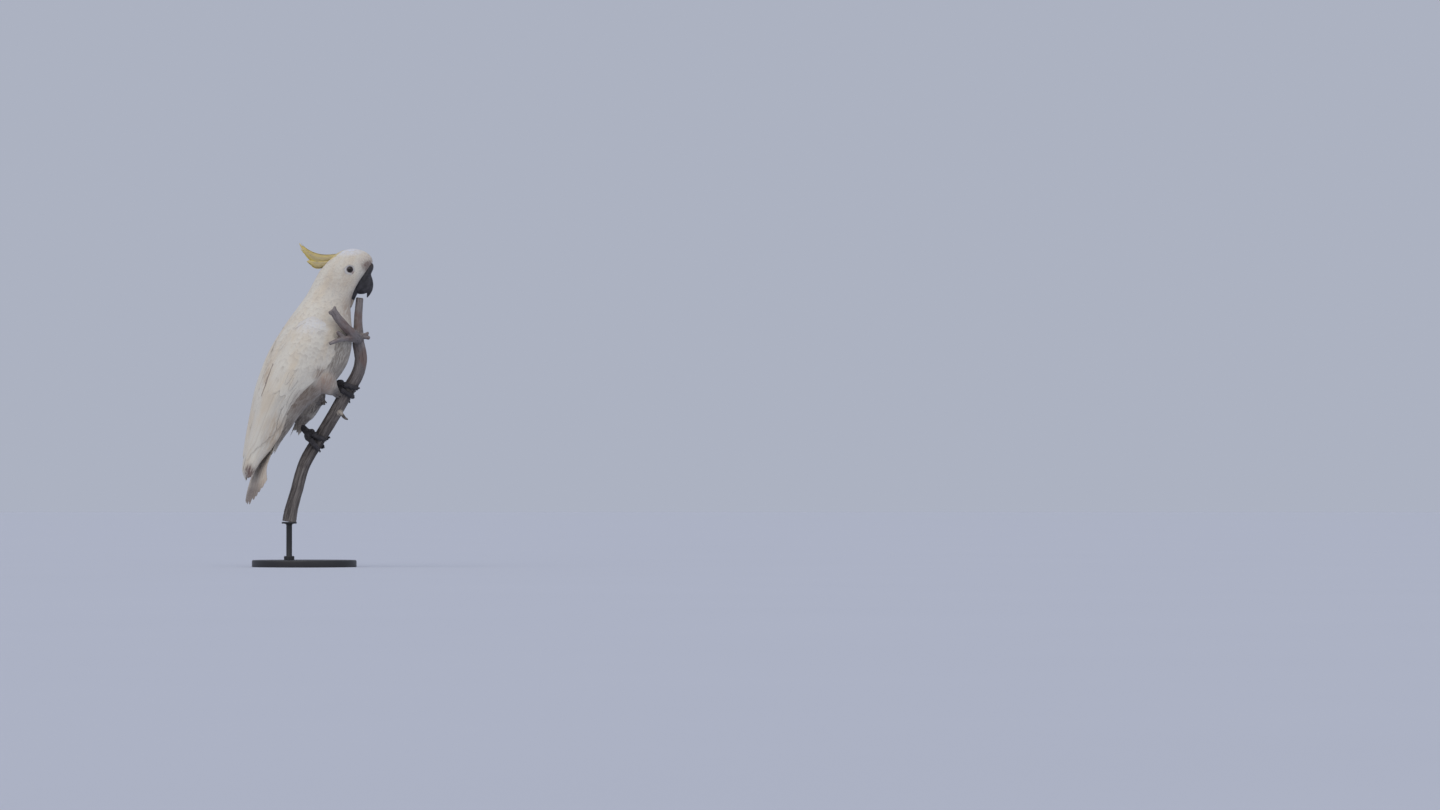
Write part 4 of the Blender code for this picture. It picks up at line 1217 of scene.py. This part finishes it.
# Sizes of the lesser coverts at the wrist and at their lower end, as in FEATHER_SIZES
LESSER_COVERTS = [(0.0, 13.0, 7.0, 3.4, -0.8, 0.2), (0.27, 22.0, 11.0, 4.8, -0.8, 0.3)]
# Single feathers that have come loose over the coverts, and over the shoulder
LOOSE_COVERTS = [
    (0.31, 0.66, 0.43, 0.74, 9.0, -1.8, 0.6), (0.37, 0.88, 0.51, 0.96, 9.0, -1.8, 0.6),
    (0.28, 0.52, 0.40, 0.57, 9.0, -1.8, 0.5), (0.45, 0.93, 0.61, 1.00, 10.0, -1.8, 0.5),
    (0.20, 0.86, 0.31, 0.93, 9.0, -1.8, 0.5),
]
RAGGED_SCAPULARS = [(0.00, 0.15, 0.11, 0.05, 8.0, -1.2, 0.8), (0.10, 0.10, 0.24, 0.02, 9.0, -1.2, 0.8),
                    (0.16, 0.12, 0.31, 0.06, 8.0, -1.2, 0.6)]
# Brown ones along the right wing's back edge where it lies on the other wing, painted as the shade in the
# slit between the wings
SLIT_SHADE_FEATHERS = [(0.19, 0.06, 0.34, 0.01, 6.0, -1.3, 0.35), (0.25, 0.04, 0.40, 0.00, 7.0, -1.3, 0.5),
                   (0.31, 0.04, 0.46, 0.01, 5.5, -1.3, 0.6)]


def wing_feathers(side_name, side, small, covert, flight, worn):
    surface = wing_surface(side)
    chance = np.random.default_rng(31 if side < 0 else 32)
    under_other = 0.0 if side < 0 else 1.1      # the right wing's edge lies over the left one's
    home = spread_out(0.02, 0.96, 0.25, 0.5)

    def jitter(size):
        return chance.normal(0, size)

    def row(name, feathers, finish, seed, rows, tip_from, tip_power, **shape):
        long_feathers(name + "_" + side_name, surface, list(feathers), finish, home, seed, rows=rows,
                      tip_from=tip_from, tip_power=tip_power, **shape)

    row("primaries", primaries(under_other), flight, 41, 26, 0.62, 1.7, shaft_at=0.25)
    row("secondaries", secondaries(jitter), flight, 42, 24, 0.84, 2.4, shaft_at=0.2)
    row("tertials", tertials(under_other), flight, 43, 20, 0.8, 2.2, shaft_at=0.1)
    row("primary_coverts", primary_coverts(), covert, 44, 14, 0.7, 2.0, shaft_at=0.2)
    row("greater_coverts", greater_coverts(jitter), covert, 45, 12, 0.66, 2.2)
    row("median_coverts", median_coverts(jitter), covert, 46, 9, 0.6, 2.2, columns=6)
    row("loose_coverts", LOOSE_COVERTS, worn, 50, 10, 0.5, 2.0, columns=6, rim_laid=0.0)
    small_feathers("lesser_coverts_" + side_name, surface, LESSER_COVERTS, (0.0, 0.265), (0.02, 1.04),
                   small, home, (47, 48))
    row("scapulars", scapulars(jitter), covert, 49, 12, 0.6, 2.2)
    row("ragged_scapulars", RAGGED_SCAPULARS, worn, 53, 12, 0.5, 2.0, columns=6)


def wings():
    small = feather_finish("white_feather_lesser", wing_plumage, 2.0, 9.0, shaft=0.15, edge=0.3,
                           relief=0.00030, loose=0.9, hidden=0.70, covered_shade=0.18)
    covert = feather_finish("white_feather_covert", wing_plumage, 3.2, 26.0, edge=0.4, hidden=0.60,
                            covered_shade=0.25)
    flight = feather_finish("white_feather_flight", wing_plumage, 9.0, 34.0, shaft=0.6, edge=0.4,
                            hidden=0.45, covered_shade=0.15)
    # dark rims painted as the shade lines round the loose coverts and ragged scapulars
    worn = feather_finish("white_feather_shaded_edge", wing_plumage, 3.2, 26.0, edge=0.7, hidden=0.2,
                          covered_shade=0.1, worn=(0.20, 0.16, 0.14))
    for side_name, side in SIDES:
        wing_feathers(side_name, side, small, covert, flight, worn)
    # brown feathers painted as the shade in the slit between the wings
    slit_shade = feather_finish("white_feather_slit_shade", brown_plumage, 4.0, 20.0, edge=0.3, hidden=0.2,
                            covered_shade=0.1)
    long_feathers("slit_shade_feathers", wing_surface(-1), SLIT_SHADE_FEATHERS, slit_shade,
                  spread_out(0.02, 0.96, 0.1, 1.0), 54, tip_from=0.3, tip_power=1.5, rows=16, columns=6)


wings()


# Tail ---------------------------------------------------------------------------------------
# Twelve stiff feathers in a flat fan, the middle pair on top, each a little worn and soiled at
# its tip.

TAIL_LINE = [(-42.0, 240.0, 17.0), (-54.0, 218.0, 25.0), (-66.0, 192.0, 32.0),
             (-80.0, 160.0, 38.0), (-88.0, 130.0, 39.0), (-93.5, 104.0, 37.0)]   # x, z, half width
TAIL_LONGEST_SIDE = 16.0
TAIL_ROUNDING = 44.0


def tail_surface(a, b, lift):
    """a runs down the tail from 0 to 1, b across from its right edge (-1) to its left (1)."""
    a, b, lift = np.broadcast_arrays(a, b, lift)
    rows = read_rows(TAIL_LINE, np.clip(a, -0.2, 1.2) * (len(TAIL_LINE) - 1))
    start, end = np.array(TAIL_LINE[0][:2]), np.array(TAIL_LINE[-1][:2])
    along = (end - start) / np.linalg.norm(end - start)
    back = np.array((along[1], -along[0]))
    side = rows[..., 2] * b
    off = (side - TAIL_LONGEST_SIDE) / (TAIL_LINE[-1][2] + TAIL_LONGEST_SIDE)
    place = rows[..., :2] - along * (TAIL_ROUNDING * a ** 2 * off ** 2)[..., None]
    place = place + back * lift[..., None]
    return turned(place[..., 0], side, place[..., 1], 1.0)


def tail():
    # the tail's brown rims: soiling, with painted shade where the feathers overlap
    flight = feather_finish("white_feather_tail", tail_plumage, 9.0, 34.0, shaft=0.7, edge=1.0,
                            hidden=0.3, covered_shade=0.05, worn=(0.32, 0.24, 0.18))
    chance = np.random.default_rng(52)
    feathers = []
    for number in range(12):
        side = (number - 5.5) / 5.5
        order = abs(side)
        feathers.append((0.02, 0.35 * side, 0.99 - chance.uniform(0, 0.07), 0.98 * side, 17.0,
                         1.0 - 1.0 * order, 1.2 - 2.2 * order + chance.normal(0, 0.15)))
    feathers.sort(key=lambda feather: feather[-1])       # by the height of their tips
    fan = long_feathers("tail_feathers", tail_surface, feathers, flight,
                        spread_out(0.1, 0.8, 0.5, 0.45), 51, tip_from=0.80, tip_power=1.5, rows=30,
                        splits=0.16)
    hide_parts("tail")


tail()


# Thighs -------------------------------------------------------------------------------------
# Loose soft feathers that wrap each thigh and end in a ragged cuff over the ankle.

THIGH_LINES = {
    "right": [(8.0, -36.0, 347.0, 14.0), (24.0, -40.0, 331.0, 23.0), (37.0, -32.5, 316.0, 19.0),
              (46.0, -22.0, 307.0, 12.0), (51.5, -15.0, 303.0, 7.5)],
    "left": [(0.0, 14.0, 318.0, 20.0), (4.0, 14.0, 295.0, 29.0), (0.0, 10.0, 270.0, 21.0),
             (-5.0, 8.0, 255.0, 12.5), (-8.5, 7.0, 246.0, 7.5)],
    "between": [(10.0, 0.0, 308.0, 15.0), (18.0, -2.0, 299.0, 17.0), (25.0, -3.0, 291.0, 14.0),
                (31.0, -4.0, 284.0, 5.0)],
}


def thigh_surface(rows):
    """a is the row number down the thigh, b the angle round it."""
    last = len(rows) - 1

    def surface(a, b, lift):
        a, b, lift = np.broadcast_arrays(a, b, lift)
        inside = np.clip(a, 0, last)
        here, ahead, behind = (read_rows(rows, np.clip(inside + step, 0, last)) for step in (0, 0.05, -0.05))
        along = unit(ahead[..., :3] - behind[..., :3])
        across = unit(np.cross(along, (0.0, 1.0, 0.0)))
        third = np.cross(along, across)
        round_it = np.cos(b)[..., None] * across + np.sin(b)[..., None] * third
        past = (a - inside)[..., None] * 12.0
        return (here[..., :3] + along * past + round_it * (here[..., 3] + lift)[..., None]) * MM
    return surface


def thighs():
    loose = feather_finish("white_feather_loose", white_plumage, 2.4, 7.0, shaft=0.1, edge=0.1,
                           relief=0.0003, loose=0.9, hidden=0.7, covered_shade=0.4)
    for seed, (side_name, rows) in enumerate(THIGH_LINES.items()):
        surface = thigh_surface(rows)
        last = len(rows) - 1
        length = (11.0, 5.0) if side_name == "between" else (22.0, 10.0)
        sizes = [(0, length[0], 9.0, 3.3, -0.9, 0.2), (last, length[1], 3.6, 1.5, -0.7, 0.5)]
        small_feathers("coat_thigh_" + side_name, surface, sizes, (0.3, last - 0.05), ALL_ROUND, loose,
                       spread_out(0.02, 0.96 / last, 0.5, 0.48 / math.pi), (61 + seed, 63 + seed),
                       ragged=0.14, curl=0.5)


thighs()


# Crest --------------------------------------------------------------------------------------
# Long narrow yellow plumes in two groups, laid back over the crown, their tips curling up.

CROWN_PLUMES = 26                      # on each side, at the crest's root
CREST_LAYERS = (1.0, 0.55, 0.12)
UPPER_CREST = [                        # upper edge (x, z), lower edge (x, z), half width
    (72.0, 542.5, 72.0, 533.0, 3.0), (52.0, 539.5, 52.0, 529.0, 5.0),
    (36.0, 538.5, 35.5, 524.0, 5.6), (22.0, 540.8, 20.0, 523.5, 4.6),
    (10.5, 545.0, 8.0, 531.0, 3.2), (1.5, 550.5, 0.0, 540.0, 2.0),
    (-4.0, 555.5, -6.5, 546.0, 1.2), (-9.3, 559.8, -9.8, 557.5, 0.5),
]
LOWER_CREST = [
    (56.0, 531.0, 54.0, 524.0, 4.5), (36.0, 530.0, 32.0, 516.8, 6.5), (22.0, 530.0, 19.0, 516.0, 4.6),
    (12.0, 530.0, 10.0, 521.5, 2.4), (4.0, 528.0, 3.2, 526.6, 0.6),
]
# Plumes, undermost first: root a and b, tip a and b, width
UPPER_PLUMES = ((0.02, 0.92, 0.60, 1.03, 4.4), (0.02, 0.80, 0.70, 1.04, 4.4),
                (0.02, 0.14, 0.70, 0.10, 4.0), (0.02, 0.68, 0.79, 0.98, 4.4),
                (0.02, 0.22, 0.84, 0.12, 4.0), (0.02, 0.55, 0.88, 0.85, 4.4),
                (0.02, 0.32, 0.93, 0.28, 4.2), (0.02, 0.44, 0.985, 0.50, 4.4))
LOWER_PLUMES = ((0.02, 0.90, 0.70, 1.04, 4.2), (0.02, 0.12, 0.76, 0.06, 4.0),
                (0.02, 0.76, 0.84, 1.00, 4.2), (0.02, 0.26, 0.90, 0.14, 4.2),
                (0.02, 0.60, 0.95, 0.80, 4.2), (0.02, 0.42, 0.985, 0.45, 4.4))
# Plumes inside the crest, so that it isn't hollow from above, below and behind
CREST_CORES = (                        # name, rows, edge they lie under, depth, seed
    ("ridge", UPPER_CREST, 0, 0.0, 77), ("upper_core", UPPER_CREST, 0, 0.3, 75),
    ("middle_core", UPPER_CREST, 0, 0.6, 76), ("lower_core", LOWER_CREST, 0, 0.4, 80),
    ("keel", LOWER_CREST, 2, 0.0, 78),
)
CORE_PLUMES = [(0.02, -0.75, 0.80, -0.5, 3.6, -1.2, -0.2), (0.02, 0.75, 0.84, 0.5, 3.6, -1.2, -0.1),
               (0.02, -0.3, 0.90, -0.2, 3.8, -1.2, 0.0), (0.02, 0.3, 0.93, 0.2, 3.8, -1.2, 0.1),
               (0.02, 0.0, 0.97, 0.0, 3.8, -1.2, 0.2)]


def crest_surface(rows, side, layer):
    """a runs from a blade's root (0) to its tip (1), b from its upper edge (0) to its lower (1).

    layer is the share of the blade's thickness at which the plumes lie.
    """
    def surface(a, b, lift):
        a, b, lift = np.broadcast_arrays(a, b, lift)
        here = read_share(rows, a)
        place = here[..., 0:2] + (here[..., 2:4] - here[..., 0:2]) * b[..., None]
        round_it = np.sqrt(np.clip(1 - (2 * b - 1) ** 2, 0.0, 1))
        out = here[..., 4] * layer * (0.25 + 0.75 * round_it) + lift
        return np.stack([place[..., 0], side * out, place[..., 1]], -1) * MM
    return surface


def yellow_plumage(finish):
    place = finish.place()
    streaks = finish.noise(place, (120.0, 900.0, 420.0), 4.0)
    return finish.layers(
        finish.mix((0.68, 0.510, 0.055), (0.47, 0.340, 0.040), streaks.eased(0.42, 0.72)),
        ((0.64, 0.52, 0.18), finish.attribute("shade").eased(0.5, 1.0) * 0.5),
        ((0.78, 0.72, 0.52), finish.parts(place)[0].eased(0.040, 0.072) * 0.6),
        # dark olive streaks painted as shade between the plumes
        ((0.30, 0.235, 0.06), streaks.eased(0.56, 0.8) * 0.35))


def crest_middle(rows, edge, depth):
    """a runs down the crest at a share depth below one edge, b across it.

    edge is 0 for the upper edge and 2 for the lower one, as they stand in the rows.
    """
    def surface(a, b, lift):
        a, b, lift = np.broadcast_arrays(a, b, lift)
        here = read_share(rows, a)
        this, other = here[..., edge:edge + 2], here[..., 2 - edge:4 - edge]
        place = this * (1 - depth) + other * depth - unit(other - this) * lift[..., None]
        return np.stack([place[..., 0], here[..., 4] * (0.55 + depth) * b, place[..., 1]], -1) * MM
    return surface


def crest():
    yellow = feather_finish("yellow_feather", yellow_plumage, 9.0, 16.0, shaft=0.3, edge=0.0)
    chance = np.random.default_rng(79)
    for side_name, side in SIDES:
        crown = []
        for number in range(CROWN_PLUMES):
            root_b = 0.42 * (number + chance.uniform(0, 1)) / CROWN_PLUMES
            root_a = 4.45 + 1.3 * root_b + chance.uniform(0, 0.35)
            crown.append((root_a, side * root_b, min(root_a + 1.25, 6.15), side * root_b * 0.5,
                          chance.uniform(1.5, 2.1), -0.6, 0.9 - 1.4 * root_b))
        long_feathers("crest_root_" + side_name, body_surface, crown, yellow,
                      spread_out(0.0, 0.1, 0.5, 0.3), 72, tip_from=0.5, rows=12, columns=4,
                      slot="yellow_feather", thickness=0.25, rim_laid=0.15, root=0.1)
    for group, rows, plumes in (("upper", UPPER_CREST, UPPER_PLUMES),
                                ("lower", LOWER_CREST, LOWER_PLUMES)):
        feathers = [(*plume, -1.2 + 0.14 * number, -0.5 + 0.14 * number)
                    for number, plume in enumerate(plumes)]
        for (side_name, side), (number, layer) in itertools.product(SIDES, enumerate(CREST_LAYERS)):
            long_feathers(
                "crest_" + group + "_" + side_name + "_" + str(number),
                crest_surface(rows, side, layer), feathers, yellow,
                spread_out(0.1, 0.8, 0.1, 0.8), 71 + 10 * number, tip_from=0.45, tip_power=1.3,
                rows=26, columns=6, slot="yellow_feather", thickness=0.5, rim_laid=0.25, soft=0.35)
    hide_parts("crest")
    for name, rows, edge, depth, seed in CREST_CORES:
        long_feathers("crest_" + name, crest_middle(rows, edge, depth), CORE_PLUMES, yellow,
                      spread_out(0.1, 0.8, 0.5, 0.3), seed, tip_from=0.45, tip_power=1.3, rows=22,
                      columns=4, slot="yellow_feather", thickness=0.4, rim_laid=0.2, soft=0.35)


crest()


# Bill ---------------------------------------------------------------------------------------
# A deep hooked upper bill and a short blunt lower one of dark grey horn with a dusty bloom; the
# nostrils open in a narrow bare band at the bill's root.

UPPER_BILL = [                         # ridge (x, z), cutting edge (x, z), half width
    (112.5, 527.5, 75.5, 482.0, 8.0), (118.0, 521.5, 79.0, 478.0, 10.5),
    (118.0, 513.5, 83.0, 474.5, 11.3), (114.5, 505.0, 86.5, 472.5, 11.2),
    (117.2, 495.0, 91.0, 471.3, 10.7), (118.2, 486.0, 96.0, 470.5, 9.5),
    (116.7, 477.5, 102.0, 471.0, 7.6), (114.0, 472.0, 106.8, 473.0, 4.6),
    (111.2, 468.0, 107.0, 468.6, 2.5), (108.0, 464.5, 107.0, 465.0, 0.7),
]
LOWER_BILL = [(79.0, 446.5, 76.5, 448.5, 1.2), (81.0, 449.5, 75.5, 453.5, 4.2),
              (84.8, 458.5, 75.5, 464.5, 8.0), (88.2, 466.0, 77.5, 474.0, 9.4),
              (91.0, 471.5, 81.0, 480.0, 8.8), (93.0, 477.5, 85.0, 486.0, 7.0)]
BILL_SIDES = 64
NOSTRIL = (108.5, 7.0, 521.5)
NOSTRIL_RADIUS = 2.2
NOSTRIL_DEPTH = 1.6


def horn_finish(name, dark, pale):
    horn = Finish(name, Specular_IOR_Level=0.4)
    place = horn.place()
    bloom = horn.noise(place, 120.0, 5.0, 0.6)
    scratches = horn.noise(place, (1600.0, 1600.0, 160.0), 4.0, 0.6)
    layers = horn.noise(place, (160.0, 160.0, 700.0), 3.0, 0.55)
    root = horn.spot(place, (bill_high.x - 0.013, 0, bill_high.z - 0.001), (0.026, 0.03, 0.0125), 0.4)
    colour = horn.layers(horn.mix(dark, pale, bloom.eased(0.35, 0.72)),
                         ([value * 1.7 for value in pale], scratches.eased(0.60, 0.75) * 0.35),
                         ((0.052, 0.038, 0.035), root * (bloom * 0.6 + 0.55)))
    return horn.feed(colour, roughness=0.42 + bloom * 0.25, relief=layers + scratches * 0.5,
                     depth=0.00022, strength=0.5)


def bill_piece(name, sections):
    turns = np.linspace(0, 2 * math.pi, BILL_SIDES, endpoint=False)
    return loft(name, [oval(np.broadcast_to([*row, 0.0], (BILL_SIDES, 6)), turns, 0.0)
                       for row in finer(sections, 8)])


def bill():
    upper = bill_piece("upper_bill", UPPER_BILL)
    lower = bill_piece("lower_bill", LOWER_BILL)
    places, normals = points_of(upper)
    for side in (1, -1):
        nostril = np.array((NOSTRIL[0], side * NOSTRIL[1], NOSTRIL[2])) * MM
        from_pit = np.linalg.norm(places - nostril, axis=1) / (NOSTRIL_RADIUS * MM)
        places -= normals * (np.exp(-from_pit ** 2) * NOSTRIL_DEPTH * MM)[:, None]
    move_points(upper, places)
    horn = horn_finish("bill_horn", (0.018, 0.017, 0.021), (0.052, 0.049, 0.057))
    complete(upper, horn, "bill_horn", "bill_upper")
    complete(lower, horn, "bill_horn", "bill_lower")


def chin_surface(a, b, lift):
    """a runs down the lower bill from 0 at its cutting edge to 3 below it, b is round it."""
    a, b, lift = np.broadcast_arrays(a, b, lift)
    rows = np.column_stack([LOWER_BILL[::-1], np.zeros(len(LOWER_BILL))])[2:]
    return oval(read_rows(rows, np.clip(a, 0, len(rows) - 1)), b, lift)


def chin():
    loose = bpy.data.materials["white_feather_loose"]
    sizes = [(0.75, 4.0, 1.6, 1.0, -0.3, 0.3), (2.7, 7.0, 2.4, 1.0, -0.3, 0.6)]
    small_feathers("coat_chin", chin_surface, sizes, (0.75, 2.7), ALL_ROUND, loose,
                   spread_out(0.02, 0.32, 0.5, 0.48 / math.pi), (75, 76), ragged=0.2, turn=8.0, columns=4)


bill()
chin()


# Eyes ---------------------------------------------------------------------------------------
# Wet dark balls: the iris is nearly as dark as the pupil, and the clear front is glossy.

def eye_finish():
    ball = Finish("eye_brown", Roughness=0.06, Coat_Weight=0.25, Coat_Roughness=0.03,
                  Specular_IOR_Level=0.3)
    place = ball.place()
    off, from_axis = ball.distance(place, (eye_x, 0, eye_z), flat=True)
    rays = ball.noise(ball.vector("NORMALIZE", off, (0, 0, 0)), 9.0, 4.0, 0.7)
    iris = ball.mix((0.012, 0.007, 0.005), (0.030, 0.017, 0.011), rays.eased(0.35, 0.7))
    colour = ball.layers((0.002, 0.002, 0.002), (iris, from_axis.eased(0.0022, 0.0025)),
                         ((0.010, 0.008, 0.008), from_axis.eased(0.0040, 0.0048)))
    return ball.feed(colour)


def eyes():
    finish = eye_finish()
    for side_name, side in SIDES:
        select()
        bpy.ops.mesh.primitive_uv_sphere_add(segments=64, ring_count=40, radius=eye_radius)
        ball = bpy.context.object
        ball.name = ball.data.name = "eye_ball_" + side_name
        places, _ = points_of(ball)
        bulge = np.clip(side * places[:, 1] / eye_radius, 0, 1) ** 6
        places[:, 1] += side * bulge * 0.25 * MM
        move_points(ball, places + np.array((eye_x, side * eye_side, eye_z)))
        ball.data.shade_smooth()
        complete(ball, finish, "eye_brown", "eye_" + side_name)


eyes()


# Feet and claws -----------------------------------------------------------------------------
# Short legs and four gripping toes in dark scaly skin, two toes forward and two back, each with
# a curved horn claw.

FOOT_VOXEL = 0.00065
CLAW_VOXEL = 0.00035
FOOT_FULLNESS = 0.9                    # how far the scaly skin stands out from the solids
TOE_REACH = 0.0215                     # how far from the branch's middle a gripping toe lies


def foot_finish():
    hide = Finish("foot_skin", Roughness=0.7)
    place = hide.place()
    scales = hide.node("ShaderNodeTexVoronoi", {"feature": "DISTANCE_TO_EDGE"},
                       {"Vector": place, "Scale": 620.0})
    dust = hide.noise(place, 140.0, 5.0, 0.6)
    colour = hide.mix((0.028, 0.026, 0.031), (0.075, 0.068, 0.076), dust.eased(0.35, 0.7))
    colour = hide.mix((0.018, 0.016, 0.019), colour, scales.eased(0.0, 0.16))
    return hide.feed(colour, roughness=0.55 + dust * 0.3, relief=scales.eased(0.0, 0.25) + dust * 0.3,
                     depth=0.0004, strength=0.8)


def feet():
    hide = foot_finish()
    horn = horn_finish("claw_horn", (0.022, 0.021, 0.024), (0.050, 0.047, 0.050))
    for side_name, _ in SIDES:
        foot = remesh(copy_of("foot_" + side_name), FOOT_VOXEL, 3)
        foot.name = foot.data.name = "gripping_foot_" + side_name
        places, normals = points_of(foot)
        _, offsets = nearest_line(places, [PERCH_LINE])
        turn = np.arctan2(-offsets[:, 1], -(offsets[:, 0] * 0.86 - offsets[:, 2] * 0.5))
        away = np.linalg.norm(offsets, axis=1)
        on_toe = np.clip((TOE_REACH - away) / 0.003, 0, 1)
        bands = abs(np.sin(turn * 16.0)) ** 0.5 * on_toe
        bands += abs(np.sin(away * 1450.0)) ** 0.5 * (1 - on_toe)
        lumps = clouds(places, 700, 5.0)
        places += normals * ((bands - 0.7) * 0.28 + lumps * 0.12 + FOOT_FULLNESS)[:, None] * MM
        move_points(foot, places)
        complete(foot, hide, "foot_skin", "foot_" + side_name)
        for toe in ("inner_front", "outer_front", "inner_back", "outer_back"):
            node = "claw_" + toe + "_" + side_name
            claw = remesh(copy_of(node), CLAW_VOXEL, 4)
            claw.name = claw.data.name = "curved_" + node
            complete(claw, horn, "claw_horn", node)


feet()
